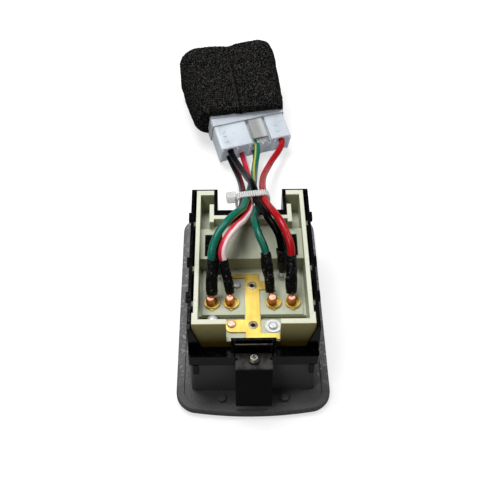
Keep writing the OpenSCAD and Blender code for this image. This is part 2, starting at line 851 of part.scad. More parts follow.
module spring_clip() {
    color(black) difference() {
        along_x([-clip_w / 2, clip_w / 2]) clip_side();
        translate([0, screw_y, band_top - 1]) cylinder(h = clip_t + 2, d = screw_d + 0.2);
        for (x = [-1, 1]) translate([x * clip_w / 2, screw_y + 0.6, band_top - 1])
            cylinder(h = clip_t + 2, d = 1.6);
    }
}

module clip_screw() {
    head_z = band_top + clip_t;
    color(steel) translate([0, screw_y, 0]) difference() {
        union() {
            translate([0, 0, head_z]) cylinder(h = 1, d = screw_head_d);
            translate([0, 0, head_z + 1])
                cylinder(h = 0.6, d1 = screw_head_d, d2 = screw_head_d - 1.4);
            translate([0, 0, band_top - boss_h + 0.5])
                cylinder(h = boss_h + clip_t, d = screw_d);
        }
        for (a = [0, 90]) translate([0, 0, head_z + 0.8]) rotate([0, 0, a])
            block([-0.9, 0.9], [-0.2, 0.2], [0, 1]);
    }
}

// Plan of the terminal base: a tray with two horns beside the wire notch
module base_plan() {
    translate([-base_half, -base_near])
        square([2 * base_half, base_near + notch_y - mid_wall_gap]);
    for (x = [-1, 1]) {
        translate([x * (base_half + horn_in) / 2, (base_far + deck_far) / 2])
            square([base_half - horn_in, base_far - deck_far], center = true);
        translate([x * base_half, foot_l / 2 - base_near])
            square([2 * foot_w, foot_l], center = true);
    }
}

module base_cuts() {
    mid_face = notch_y - mid_wall_gap - mid_wall;
    block([-base_in, base_in], [-floor_near, -deck_near], [floor_top, base_top + 1]);
    difference() {
        block([-base_in, base_in], [-floor_near, -shelf_y], [low_floor_top, base_top]);
        block([gate_x - gate_w / 2, gate_x + gate_w / 2], [-floor_near - 1, -tongue_y],
            [band_top, floor_top]);
        block([-spine_half, spine_half], [-tongue_y - 1, 0], [band_top, floor_top]);
    }
    block([-base_in, base_in], [-deck_near - eps, deck_far], [deck_top, base_top + 1]);
    block([-horn_in, horn_in], [deck_far - eps, mid_face], [deck_top, base_top + 1]);
    block([gate_x - gate_w / 2, gate_x + gate_w / 2], [-base_near - 1, -floor_near + 1],
        [floor_top, base_top + 1]);
    both_sides() {
        block([horn_in + horn_wall, base_in], [deck_far, floor_far],
            [floor_top + horn_sill, base_top + 1]);
        block([horn_in - 1, horn_in + horn_wall + 1], [horn_cut_y, floor_far],
            [floor_top + horn_sill + 1, base_top + 1]);
        block([window_x - window_w / 2, window_x + window_w / 2],
            [window_y - window_l / 2, window_y + window_l / 2], [band_top, base_top]);
        block([base_in - groove_w, base_in + eps], [-shelf_y, -deck_near],
            [floor_top - groove_deep, floor_top + 1]);
    }
    block([-base_in, base_in], [-shelf_y, deck_far], [band_top - 1, floor_under]);
    both_sides() block([horn_in + horn_wall, base_in], [deck_far - eps, floor_far],
        [band_top - 1, floor_under]);
}

module floor_hole(at, d) {
    translate([at[0], at[1], band_top - 1]) cylinder(h = base_h, d = d);
}

module terminal_base() {
    color(cream) {
        difference() {
            translate([0, 0, band_top]) linear_extrude(base_h) base_plan();
            base_cuts();
            for (i = [0 : 3]) floor_hole(cup_at(i), stem_d + 2 * stem_fit);
            for (i = [4, 5]) floor_hole(sleeve_foot[i], stem_d + 2 * stem_fit);
            for (y = eyelet_y) floor_hole([0, y], eyelet_bore() + 2 * stem_fit);
            for (p = [stake_at, earth_at, corner_rivet_at, deck_rivet_at])
                floor_hole(p, stem_d + 2 * stem_fit);
        }
        both_sides() for (y = tab_y) translate([0, y, 0])
            along_y([-tab_l / 2, tab_l / 2]) polygon([[base_half - eps, tab_top],
                [base_half + tab_out, tab_top], [base_half + tab_out, tab_top - 0.6],
                [base_half + 0.3, tab_top - tab_h], [base_half - eps, tab_top - tab_h]]);
    }
}

function eyelet_bore() = eyelet_d - 1.2;
function cup_at(i) = [[-cup_out, -cup_in, cup_in, cup_out][i], -cup_y];
function post_at(i) = cup_at(i) + [-post_off, -post_back];
function along(i) = (sleeve_mouth[i] - sleeve_foot[i]) / norm(sleeve_mouth[i] - sleeve_foot[i]);

module strap_plan() {
    translate([-strap_w / 2, -strap_end_near])
        square([strap_w, strap_end_near - strap_end_far]);
    translate([lobe[0] + lobe_r, lobe[1]]) square([-lobe[0] - lobe_r, lobe[2]]);
    translate([lobe[0], lobe[1] + lobe_r]) square([lobe_r, lobe[2] - 2 * lobe_r]);
    for (y = [lobe[1] + lobe_r, lobe[1] + lobe[2] - lobe_r])
        translate([lobe[0] + lobe_r, y]) circle(lobe_r);
    translate([0, foot_y[0]]) square([foot_x, foot_y[1] - foot_y[0]]);
    translate([0, branch_y[0]]) square([branch_x, branch_y[1] - branch_y[0]]);
    translate([top_bar[0], top_bar[2]])
        square([top_bar[1] - top_bar[0], top_bar[3] - top_bar[2]]);
}

module earth_strap() {
    color(brass) translate([0, 0, floor_top]) linear_extrude(strap_t) difference() {
        strap_plan();
        for (y = eyelet_y) translate([0, y]) circle(d = eyelet_bore() + 2 * stem_fit);
        translate(stake_at) circle(d = stem_d + 2 * stem_fit);
    }
}

// Eyelet: a tube through the strap and the floor, flared on top
module eyelet(y) {
    top = floor_top + strap_t;
    color(steel) translate([0, y, 0]) rotate_extrude() {
        translate([eyelet_bore() / 2 - 0.35, floor_under]) square([0.35, top - floor_under]);
        polygon([[eyelet_bore() / 2 - 0.35, top], [eyelet_d / 2, top],
            [eyelet_d / 2, top + eyelet_flare * 0.5], [eyelet_bore() / 2, top + eyelet_flare],
            [eyelet_bore() / 2 - 0.35, top + eyelet_flare * 0.4]]);
    }
}

module eyelet_near() {
    eyelet(eyelet_y[0]);
}

module eyelet_far() {
    eyelet(eyelet_y[1]);
}

// Rivet with a low domed head that seats at z
module rivet(at, z, foot) {
    color(steel) translate([at[0], at[1], 0]) rotate_extrude() polygon([[0, foot],
        [stem_d / 2, foot], [stem_d / 2, z], [rivet_d / 2, z], [rivet_d / 2, z + head_t * 0.4],
        [rivet_d / 2 - 0.3, z + head_t * 0.8], [rivet_d / 4, z + head_t], [0, z + head_t]]);
}

module stake_rivet() {
    rivet(stake_at, floor_top + strap_t, band_top + 0.5);
}

module earth_washer() {
    color(steel) translate([earth_at[0], earth_at[1], floor_top]) difference() {
        cylinder(h = washer_t, d = washer_d);
        translate([0, 0, -1]) cylinder(h = washer_t + 2, d = stem_d + 2 * stem_fit);
    }
}

module earth_rivet() {
    rivet(earth_at, floor_top + washer_t, band_top + 0.5);
}

module corner_rivet() {
    rivet(corner_rivet_at, low_floor_top, band_top - 0.4);
}

module deck_rivet() {
    rivet(deck_rivet_at, floor_top, floor_under);
}

// Solder cup on the floor, with a pointed tab towards the near end
module terminal_cup(i) {
    at = cup_at(i);
    color(brass) translate([at[0], at[1], 0]) {
        translate([0, 0, floor_top]) linear_extrude(cup_base_t) {
            circle(d = cup_d);
            polygon([[-cup_d * 0.4, -cup_d * 0.3], [0, -cup_point], [cup_d * 0.4, -cup_d * 0.3]]);
        }
        translate([0, 0, floor_top + cup_base_t - eps]) difference() {
            cylinder(h = cup_rim_t, d = cup_d);
            translate([0, 0, -1]) cylinder(h = cup_rim_t + 2, d = cup_d - 2 * cup_rim_w);
        }
        translate([0, 0, floor_under]) cylinder(h = floor_t + eps, d = stem_d);
    }
}

module terminal_1() {
    terminal_cup(0);
}

module terminal_2() {
    terminal_cup(1);
}

module terminal_3() {
    terminal_cup(2);
}

module terminal_4() {
    terminal_cup(3);
}

// A rod between two points
module rod_between(from, to, d) {
    v = to - from;
    translate(from) rotate([0, acos(v[2] / norm(v)), atan2(v[1], v[0])])
        cylinder(h = norm(v), d = d);
}

// Terminals under the deck's edge: a post through the floor, bent into its sleeve
module terminal_post(i) {
    foot = sleeve_foot[i];
    color(brass) {
        translate([foot[0], foot[1], floor_under])
            cylinder(h = floor_t + eps, d = stem_d);
        translate([foot[0], foot[1], floor_top])
            cylinder(h = foot[2] - floor_top, d = tail_d - 0.4);
        translate([foot[0], foot[1], floor_top]) cylinder(h = 0.5, d = cup_d * 0.7);
        translate(foot) sphere(d = tail_d - 0.4 + elbow / 2);
        rod_between(foot, foot + tail_in * along(i), tail_d - 0.4);
    }
}

module terminal_5() {
    terminal_post(4);
}

module terminal_6() {
    terminal_post(5);
}

// Welded conductor: a flat-topped stub in the cup and a tail that leads into the sleeve
module copper_post(i) {
    at = post_at(i);
    base_z = floor_top + cup_base_t;
    top = base_z + post_h;
    neck = [at[0], at[1], top - tail_drop];
    color(copper) {
        translate([at[0], at[1], 0]) rotate_extrude() polygon([[0, base_z],
            [post_d / 2, base_z], [post_d / 2, top - post_edge],
            [post_d / 2 - post_edge, top], [0, top]]);
        rod_between(neck, sleeve_foot[i] + elbow * unit(sleeve_foot[i] - neck), stub_tail_d);
        rod_between(sleeve_foot[i] - elbow * along(i), sleeve_foot[i] + tail_in * along(i),
            stub_tail_d);
    }
}

module copper_post_1() {
    copper_post(0);
}

module copper_post_2() {
    copper_post(1);
}

module copper_post_3() {
    copper_post(2);
}

module copper_post_4() {
    copper_post(3);
}

module sleeve(i) {
    bore = wire_d + 2 * sleeve_fit;
    color(black) difference() {
        rod_between(sleeve_foot[i], sleeve_mouth[i], sleeve_d);
        rod_between(sleeve_foot[i] - along(i), sleeve_mouth[i] + along(i), bore);
    }
}

module sleeve_1() {
    sleeve(0);
}

module sleeve_2() {
    sleeve(1);
}

module sleeve_3() {
    sleeve(2);
}

module sleeve_4() {
    sleeve(3);
}

module sleeve_5() {
    sleeve(4);
}

module sleeve_6() {
    sleeve(5);
}

// Wire: rings square to the route at each of its points, joined by triangles
function unit(v) = v / norm(v);
function leg(p, i) = unit(p[min(i + 1, len(p) - 1)] - p[min(i, len(p) - 2)]);
function heading(p, i) = unit(leg(p, i) + leg(p, max(i - 1, 0)));
function ring(p, i) = let (h = heading(p, i), s = unit(cross(h, [1, 0, 0])), u = cross(s, h))
    [for (k = [0 : wire_sides - 1]) let (a = 360 * k / wire_sides)
        p[i] + wire_d / 2 * (cos(a) * s + sin(a) * u)];

module wire(route) {
    n = wire_sides;
    last = len(route) - 1;
    points = [for (i = [0 : last]) each ring(route, i)];
    skin = [for (i = [0 : last - 1], k = [0 : n - 1])
        let (a = i * n + k, b = i * n + (k + 1) % n)
        each [[a, a + n, b], [b, a + n, b + n]]];
    first_cap = [for (k = [0 : n - 1]) k];
    last_cap = [for (k = [n - 1 : -1 : 0]) last * n + k];
    polyhedron(points, concat([first_cap, last_cap], skin));
}

module wire_green_yellow() {
    color([0.45, 0.75, 0.15]) wire(green_yellow_route);
}

module wire_red_white() {
    color([0.85, 0.35, 0.38]) wire(red_white_route);
}

module wire_black_red() {
    color([0.3, 0.08, 0.08]) wire(black_red_route);
}

module wire_black() {
    color(black) wire(black_route);
}

module wire_red() {
    color([0.75, 0.06, 0.1]) wire(red_route);
}

module wire_green_black() {
    color([0.05, 0.38, 0.3]) wire(green_black_route);
}

// Tie pulled round the six wires, its lock on the left
module cable_tie() {
    w = tie_in[0] + 2 * tie_t;
    h = tie_in[1] + 2 * tie_t;
    color(clear_white) translate(tie_at) rotate([0, 0, tie_yaw]) {
        along_y([-tie_w / 2, tie_w / 2]) difference() {
            round_rect(w, h, tie_corner + tie_t);
            round_rect(tie_in[0], tie_in[1], tie_corner);
        }
        translate([-w / 2 - tie_head[0] / 2 + 0.2, 0, h / 2 + tie_head_up - tie_head[2] / 2])
            cube(tie_head, center = true);
    }
}

module at_plug() {
    translate(plug_at) rotate([plug_pitch, 0, plug_yaw]) children();
}

// Stands where the foam meets the connector, level and in line with the foam
module at_foam() {
    translate([plug_at[0], plug_at[1], 0]) rotate([0, 0, plug_yaw])
        translate([plug_w / 2, plug_bare * cos(plug_pitch) - plug_h / 2 * sin(plug_pitch), 0])
        rotate([0, 0, foam_yaw - plug_yaw])
            translate([foam_shift, 0, 0]) children();
}

module plug_bore(u, v, from, to, d) {
    translate([u, from, v]) rotate([-90, 0, 0]) cylinder(h = to - from, d = d);
}

module connector_shell() {
    color(clear_white) at_plug() difference() {
        translate([plug_w / 2, plug_l, plug_h / 2]) rotate([90, 0, 0])
            linear_extrude(plug_l) round_rect(plug_w, plug_h, 0.8);
        for (u = cavity_u, v = cavity_v) {
            plug_bore(u, v, -1, cavity_deep, cavity_d);
            plug_bore(u, v, cavity_deep - 1, plug_l - front_wall, crimp_d + 0.4);
            plug_bore(u, v, plug_l - front_wall - 1, plug_l + 1, pin_d);
        }
        block([latch_u, latch_u + latch_w], [-1, plug_l - front_wall - 2],
            [plug_h - latch_deep, plug_h + 1]);
        for (u = lance_u)
            block([u, u + 2.4], [lance_t, lance_t + 3], [plug_h - 1, plug_h + 1]);
    }
}

// Retainer: a thin band clipped round the shell where the foam begins, with its latch bar
module connector_retainer() {
    gap = 0.05;
    w = plug_w + 2 * gap;
    h = plug_h + 2 * gap;
    color(clear_white) at_plug() {
        translate([plug_w / 2, plug_bare, plug_h / 2]) rotate([90, 0, 0])
            linear_extrude(collar_band_t) difference() {
            round_rect(w + 2 * collar_band_wall, h + 2 * collar_band_wall, 1.2);
            round_rect(w, h, 0.8);
        }
        block([latch_u + 1.4, latch_u + latch_w - 1.4], [2, plug_bare - collar_band_t / 2],
            [plug_h - latch_deep + gap, plug_h + gap]);
        block([latch_u + 1.4, latch_u + latch_w - 1.4],
            [plug_bare - collar_band_t, plug_bare - collar_band_t / 2],
            [plug_h - latch_deep + gap, plug_h + gap + collar_band_wall]);
    }
}

module crimp_terminals() {
    color(brass) at_plug() for (c = used_cavities) difference() {
        plug_bore(c[0], c[1], wire_end, plug_l - front_wall - 2, crimp_d);
        plug_bore(c[0], c[1], plug_l - front_wall - socket_l, plug_l - front_wall - 1,
            crimp_d - 0.8);
    }
}

// Foam sleeve: open through, hugging the connector and standing on the ground
module foam_sleeve() {
    over_band = foam_fit + collar_band_wall + foam_fit;
    color(foam_black) difference() {
        at_foam() intersection() {
            along_x([-foam_w / 2, foam_w / 2]) polygon([[foam_lean, 0], [foam_l, 0],
                [foam_l + 1.5, foam_high * 0.5], [foam_l, foam_high],
                [3 - foam_lean, foam_low], [-foam_lean, foam_low - 2]]);
            along_y([-foam_lean - 1, foam_l + 2]) translate([0, foam_high / 2])
                round_rect(foam_w, foam_high, foam_round);
            linear_extrude(foam_high + 1) polygon([[-foam_near_w / 2, -foam_lean - 1],
                [foam_near_w / 2, -foam_lean - 1], [foam_w / 2, foam_l], [foam_w / 2, foam_l + 2],
                [-foam_w / 2, foam_l + 2], [-foam_w / 2, foam_l]]);
        }
        at_plug() {
            block([-foam_fit, plug_w + foam_fit], [plug_bare - 6, plug_l + 1],
                [-foam_fit, plug_h + foam_fit]);
            block([-over_band, plug_w + over_band], [plug_bare - 6, plug_bare + foam_fit],
                [-over_band, plug_h + over_band]);
        }
        at_foam() block([foam_mouth_x - foam_mouth_w / 2, foam_mouth_x + foam_mouth_w / 2],
            [foam_mouth_from, foam_l + 3], foam_mouth_z);
    }
}

bezel();
rocker_left();
rocker_right();
rocker_axle();
housing();
spring_clip();
clip_screw();
plunger_left();
plunger_right();
plunger_spring_left();
plunger_spring_right();
contact_lever_left();
contact_lever_right();
lever_cradle_left();
lever_cradle_right();
fixed_contact_near_left();
fixed_contact_far_left();
fixed_contact_near_right();
fixed_contact_far_right();
terminal_base();
earth_strap();
eyelet_near();
eyelet_far();
stake_rivet();
earth_rivet();
earth_washer();
corner_rivet();
deck_rivet();
terminal_1();
terminal_2();
terminal_3();
terminal_4();
terminal_5();
terminal_6();
copper_post_1();
copper_post_2();
copper_post_3();
copper_post_4();
sleeve_1();
sleeve_2();
sleeve_3();
sleeve_4();
sleeve_5();
sleeve_6();
wire_green_yellow();
wire_red_white();
wire_black_red();
wire_black();
wire_red();
wire_green_black();
cable_tie();
connector_shell();
connector_retainer();
crimp_terminals();
foam_sleeve();
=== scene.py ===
import json
from math import cos, pi, radians, sin, tan

import bmesh
import bpy
from mathutils import Matrix, Vector, noise
from mathutils.geometry import interpolate_bezier

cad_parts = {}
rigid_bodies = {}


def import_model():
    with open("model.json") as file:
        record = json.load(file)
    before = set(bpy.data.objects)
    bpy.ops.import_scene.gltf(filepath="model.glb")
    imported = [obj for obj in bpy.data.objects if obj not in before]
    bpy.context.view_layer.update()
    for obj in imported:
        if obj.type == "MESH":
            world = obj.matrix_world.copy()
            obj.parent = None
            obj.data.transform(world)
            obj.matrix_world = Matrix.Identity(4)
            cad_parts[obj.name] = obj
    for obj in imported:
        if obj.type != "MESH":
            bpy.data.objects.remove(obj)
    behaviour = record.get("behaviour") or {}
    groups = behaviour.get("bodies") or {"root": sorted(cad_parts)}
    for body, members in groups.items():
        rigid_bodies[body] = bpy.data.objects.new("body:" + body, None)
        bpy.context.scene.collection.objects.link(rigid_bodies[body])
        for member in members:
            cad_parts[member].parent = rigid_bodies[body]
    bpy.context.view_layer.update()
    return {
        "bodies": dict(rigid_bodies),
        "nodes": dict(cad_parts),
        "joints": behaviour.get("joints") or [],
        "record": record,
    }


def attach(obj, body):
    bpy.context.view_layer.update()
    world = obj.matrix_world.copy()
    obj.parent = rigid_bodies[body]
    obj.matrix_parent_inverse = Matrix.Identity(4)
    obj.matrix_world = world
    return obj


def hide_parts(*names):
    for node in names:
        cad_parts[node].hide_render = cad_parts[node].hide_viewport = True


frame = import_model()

scene = bpy.context.scene
nodes = frame["nodes"]

# Camera. The switch lies on its face and is seen from its clip end, from well above, with
# the leads and the connector running away from the viewer. The camera was placed by a fit to
# corners in the photo with its elevation held at 46 degrees, which was a choice.
scene.view_settings.view_transform = "Standard"
camera_at = Vector((-0.00623, -0.20884, 0.25439))
looks_at = Vector((-0.00384, 0.02716, 0.010))
lens = bpy.data.cameras.new("camera")
lens.lens = 63.6
lens.sensor_width = 36
lens.clip_start = 0.01
camera = bpy.data.objects.new("camera", lens)
scene.collection.objects.link(camera)
camera_roll = Matrix.Rotation(radians(-0.15), 3, "Z")
aim = (looks_at - camera_at).to_track_quat("-Z", "Y").to_matrix() @ camera_roll
camera.matrix_world = Matrix.Translation(camera_at) @ aim.to_4x4()
scene.camera = camera


# The six leads. PVC insulated stranded copper, 2.7 mm across, drawn with a coloured stripe
# or a plain colour. Each leaves its shrink sleeve, rises over the deck, passes through the
# cable tie and drops to its cavity in the connector.
class Val:
    """A shader node's output, which Python arithmetic adds Math nodes to."""

    def __init__(self, finish, socket):
        self.finish = finish
        self.socket = socket

    def math(self, operation, *others, clamp=False):
        settings = {"operation": operation, "use_clamp": clamp}
        return self.finish.node("ShaderNodeMath", settings, dict(enumerate((self, *others))))

    def __add__(self, other):
        return self.math("ADD", other)

    def __sub__(self, other):
        return self.math("SUBTRACT", other)

    def __rsub__(self, other):
        return self.finish.node("ShaderNodeMath", {"operation": "SUBTRACT"}, {0: other, 1: self})

    def __mul__(self, other):
        return self.math("MULTIPLY", other)

    def __truediv__(self, other):
        return self.math("DIVIDE", other)

    __radd__ = __add__
    __rmul__ = __mul__

    def abs(self):
        return self.math("ABSOLUTE")

    def above(self, edge, soft):
        """0 below the edge, 1 above it, over a soft step."""
        return ((self - (edge - soft / 2)) / soft).math("ADD", 0, clamp=True)

    def below(self, edge, soft):
        return 1 - self.above(edge, soft)


class Finish:
    """A material whose colour, gloss and relief are worked out from the object's own coordinates."""

    def __init__(self, name, roughness=0.5, metallic=0.0, **sockets):
        self.material = bpy.data.materials.new(name)
        self.material.use_nodes = True
        self.tree = self.material.node_tree
        self.shader = self.tree.nodes["Principled BSDF"]
        self.shader.inputs["Roughness"].default_value = roughness
        self.shader.inputs["Metallic"].default_value = metallic
        for socket, value in sockets.items():
            self.shader.inputs[socket.replace("_", " ")].default_value = value
        self.place = self.node("ShaderNodeTexCoord", {}, {}, "Object")

    def node(self, kind, settings, values, output=0):
        made = self.tree.nodes.new(kind)
        for key, value in settings.items():
            setattr(made, key, value)
        for key, value in values.items():
            if isinstance(value, Val):
                self.tree.links.new(value.socket, made.inputs[key])
            else:
                made.inputs[key].default_value = value
        return Val(self, made.outputs[output])

    def noise(self, scale, detail=3.0, rough=0.6, place=None):
        values = {"Vector": place or self.place, "Scale": scale, "Detail": detail, "Roughness": rough}
        return self.node("ShaderNodeTexNoise", {}, values)

    def cells(self, scale, feature="F1"):
        values = {"Vector": self.place, "Scale": scale}
        return self.node("ShaderNodeTexVoronoi", {"feature": feature}, values, "Distance")

    def axes(self, place=None):
        split = self.node("ShaderNodeSeparateXYZ", {}, {0: place or self.place}).socket.node
        return [Val(self, out) for out in split.outputs]

    def measured(self, frame):
        """How far a point lies along each axis of a frame, from its origin."""
        found = []
        for axis in (frame.col[i].xyz for i in range(3)):
            values = {0: self.place, 1: axis}
            along = self.node("ShaderNodeVectorMath", {"operation": "DOT_PRODUCT"}, values, 1)
            found.append(along - axis.dot(frame.translation))
        return found

    def stretch(self, x, y, z):
        """The piece's coordinates scaled by axis, so that a noise comes out drawn along one."""
        values = {0: self.place, 1: (x, y, z)}
        return self.node("ShaderNodeVectorMath", {"operation": "MULTIPLY"}, values)

    def mix(self, share, low, high):
        """Colour between low and high."""
        return self.node("ShaderNodeMix", {"data_type": "RGBA"}, {0: share, 6: low, 7: high}, 2)

    def colour(self, value):
        self.set("Base Color", value)

    def gloss(self, value):
        self.set("Roughness", value)

    def set(self, socket, value):
        self.tree.links.new(value.socket, self.shader.inputs[socket])

    def relief(self, height, depth, edge=None):
        """Bump of a height that runs 0 to 1, depth in metres, over edges rounded to a radius."""
        bump = {"Height": height, "Distance": depth, "Strength": 1.0}
        if edge:
            bump["Normal"] = self.node("ShaderNodeBevel", {"samples": 4}, {"Radius": edge})
        self.set("Normal", self.node("ShaderNodeBump", {}, bump))


def tone(red, green, blue):
    """A colour picked as 0 to 255 screen values."""
    parts = [v / 255 for v in (red, green, blue)]
    return (*(v / 12.92 if v <= 0.04045 else ((v + 0.055) / 1.055) ** 2.4 for v in parts), 1.0)


def wear(piece, finish):
    """Puts a finish on a whole piece."""
    piece.data.materials.clear()
    piece.data.materials.append(finish.material)


def from_bmesh(name, shape, smooth=True):
    """Makes a bmesh into a piece that rides with the switch."""
    mesh = bpy.data.meshes.new(name)
    shape.to_mesh(mesh)
    shape.free()
    if smooth:
        mesh.shade_smooth()
    piece = bpy.data.objects.new(name, mesh)
    scene.collection.objects.link(piece)
    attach(piece, "switch_body")
    return piece


def insulation(name, base, stripe=None, width=0.1, turn=0.0, twist=0.0, shine=0.3):
    """Glossy PVC; a stripe lies turned from the side that faces the clip end, and winds slowly."""
    pvc = Finish(name, roughness=0.3, Specular_IOR_Level=shine)
    around, along = pvc.axes(pvc.node("ShaderNodeTexCoord", {}, {}, "UV"))[:2]
    patches = pvc.noise(160, 4, 0.65)
    soiled = tuple(v * 0.62 for v in base[:3]) + (1,)
    shade = pvc.mix(patches.above(0.55, 0.5) * 0.25, base, soiled)
    if stripe:
        ripple = (pvc.noise(220, 2) - 0.5) * 0.03
        side = (around + ripple + along * -twist + (0.5 - turn)).math("FRACT")
        line = (side - 0.5).abs().below(width / 2, 0.03)
        shade = pvc.mix(line, shade, stripe)
    pvc.colour(shade)
    pvc.gloss(0.2 + patches * 0.18)
    pvc.relief(pvc.noise(900, 3) * 0.3 + patches * 0.7, 0.00005)
    return pvc


def bent(points, step):
    """Points about a step apart on a smooth line through given ones."""
    ways = [(b - a).normalized() for a, b in zip(points[:1] + points[:-1], points[1:] + points[-1:])]
    line = []
    for a, b, way_out, way_in in zip(points, points[1:], ways, ways[1:]):
        span = (b - a).length
        pull = 0.36 * span
        count = max(2, round(span / step)) + 1
        line += interpolate_bezier(a, a + way_out * pull, b - way_in * pull, b, count)[:-1]
    return line + points[-1:]


def tube(name, line, radius, steps):
    """A round skin along a line, closed at both ends; UV x goes round it and UV y along it."""
    skin = bmesh.new()
    skin.loops.layers.uv.new("around_along")
    bmesh.ops.create_grid(skin, x_segments=steps, y_segments=len(line) - 1, size=1, calc_uvs=True)
    side = Vector((0, -1, 0))
    rings = []
    for before, at, after in zip(line[:1] + line[:-1], line, line[1:] + line[-1:]):
        way = (after - before).normalized()
        side = (side - way * side.dot(way)).normalized()
        rings.append((at, side, way.cross(side)))
    for v in skin.verts:
        at, side, other = rings[round((v.co.y + 1) / 2 * (len(line) - 1))]
        turn = (v.co.x + 1) * pi
        v.co = at + (side * cos(turn) + other * sin(turn)) * radius
    bmesh.ops.remove_doubles(skin, verts=skin.verts, dist=1e-6)
    bmesh.ops.holes_fill(skin, edges=[e for e in skin.edges if e.is_boundary])
    bmesh.ops.recalc_face_normals(skin, faces=skin.faces)
    return from_bmesh(name, skin)


mm = 0.001
wire_d = 0.0027
lead_step = 0.0008
lead_sides = 20
cord_step = 0.0032
leads = [
    ("wire_green_yellow",
     insulation("pvc_green_yellow", tone(2, 106, 88), tone(176, 178, 60),
                width=0.1, turn=0.3, twist=-0.5),
     [(-14, -11.7, 38.5), (-14, -9.5, 42), (-12.3, -5, 45), (-8.9, 0.5, 46.5), (-5.4, 7.2, 44.5),
      (-3, 13.4, 41), (-1.6, 20.6, 38.2), (-1.2, 26, 35.4), (0, 33.6, 31), (1.4, 45.5, 23.5),
      (2.2, 58.5, 14.8), (3, 72, 8.6), (4.6, 87, 7.4), (3.1, 91.5, 9.1)]),
    ("wire_black",
     insulation("pvc_black", tone(4, 4, 5), shine=0.04),
     [(10.5, -4.5, 35.5), (10.2, -3.5, 39.5), (9, -1, 43), (6.2, 4, 44.5), (4.8, 9, 43.3),
      (3.4, 14.8, 40.8), (2.1, 21, 38.2), (1.6, 26.9, 37.7), (0.6, 34.2, 34.8), (-0.5, 44.4, 27.8),
      (-1.3, 55.2, 20), (-2.7, 66.9, 12.4), (-6.8, 83.3, 7.4), (-8.3, 87.8, 9.1)]),
    ("wire_red",
     insulation("pvc_red", tone(170, 4, 18)),
     [(13.5, -10.3, 38.5), (13.4, -7.7, 42), (12.2, -4, 44.5), (9.8, 2, 46), (7.8, 8, 44.4),
      (6.4, 14.2, 41.3), (5.1, 21.4, 38.2), (5, 28.4, 35.2), (5.2, 39, 28.2), (5.8, 50.9, 20.6),
      (7.2, 63.8, 13), (10.6, 77, 8.2), (16, 90.7, 7.4), (14.5, 95.2, 9.1)]),
    ("wire_red_white",
     insulation("pvc_red_white", tone(206, 40, 66), tone(250, 228, 228), width=0.25, turn=0.13),
     [(-9.5, -12, 38), (-10.4, -10, 42), (-9.2, -6.5, 44.5), (-6.1, -1.5, 45.5), (-3.4, 4.9, 42.5),
      (-2, 10.4, 39.4), (-0.5, 16.2, 36.7), (0, 21.4, 35.3), (0, 28, 31.2), (0.4, 38.4, 23.7),
      (0.5, 50.9, 15.3), (1.3, 63.8, 7.4), (0.4, 75, 2.8), (-1.6, 86.9, 2.4), (-3.1, 91.4, 4.1)]),
    ("wire_black_red",
     insulation("pvc_black_red", tone(10, 6, 8), tone(104, 6, 20),
                width=0.2, turn=-0.08, twist=0.1, shine=0.07),
     [(-12, -5, 35.5), (-12.5, -4, 39.5), (-12, -1.5, 42.5), (-9.5, 3, 43), (-7, 8, 40.4),
      (-4.5, 14, 37.3), (-3, 20.5, 35.4), (-2.8, 27.4, 32.2), (-2.6, 37.9, 25.2), (-2.6, 49.8, 16.8),
      (-3, 61.7, 9.2), (-4.2, 73, 4), (-7.3, 85, 2.4), (-8.8, 89.5, 4.1)]),
    ("wire_green_black",
     insulation("pvc_green_black", tone(2, 98, 78), tone(10, 14, 13), width=0.14, turn=0.2),
     [(5.1, -10.2, 37), (4.4, -7.1, 41), (2.5, -3, 43.5), (1.4, 3, 43.3), (1.2, 9, 40.3),
      (2.2, 15.2, 36.9), (3, 21.4, 35.3), (3.6, 28.4, 31.4), (3.7, 38, 23), (3.3, 50, 12.8),
      (2.6, 63, 4.2), (3.2, 76, 1.8), (4.1, 88.7, 2.4), (2.6, 93.2, 4.1)]),
]
for name, pvc, route in leads:
    points = [Vector(at) * mm for at in route]
    lead = tube("lead_" + name[5:], bent(points, lead_step), wire_d / 2, lead_sides)
    wear(lead, pvc)
    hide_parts(name)
    path = bent(points, cord_step)
    span = sum((b - a).length for a, b in zip(path, path[1:]))


# Shrink sleeves. Black polyolefin tube shrunk over each joint of lead and copper stub. It
# draws in at its foot, the wide ones draw in again towards the mouth, and its skin is
# lightly creased.
shrink = Finish("shrink_tube", roughness=0.3, Specular_IOR_Level=0.22)
crease = shrink.noise(420, 4, 0.62, place=shrink.stretch(1, 1, 0.45))
# Pale specks on the black skin: painted glints.
specks = shrink.noise(1100, 2, 0.7).above(0.66, 0.06)
shrink.colour(shrink.mix(specks * 0.6, tone(1, 1, 2), tone(130, 128, 126)))
shrink.gloss(0.1 + crease * 0.25)
shrink.relief(crease + shrink.noise(1800, 2) * 0.3, 0.0006)
sleeve_plain_d = 3.8
sleeve_d = [4.4, 3.9, 4.3, 4.4, sleeve_plain_d, sleeve_plain_d]
foot_pinch, mouth_pinch, wall_sunk = 0.28, 0.3, 0.06
lead_gap = 0.00012
fold_deep, fold_sunk, fold_proud = 0.00045, 0.0001, 0.00005
sleeve_rows, sleeve_sides = 26, 40
sleeve_foot = [(-14.1, -17.6, 29.2), (-7.7, -16.9, 29.2), (6.4, -16.4, 29), (13.5, -17.2, 29.2),
               (-11.6, -6.6, 28.4), (11.2, -6.4, 28.6)]
sleeve_mouth = [(-13.9, -10.8, 40), (-10, -11, 40), (4.6, -7.9, 40), (13.5, -9.2, 40),
                (-12.2, -4.6, 37.5), (10.4, -4, 37.5)]


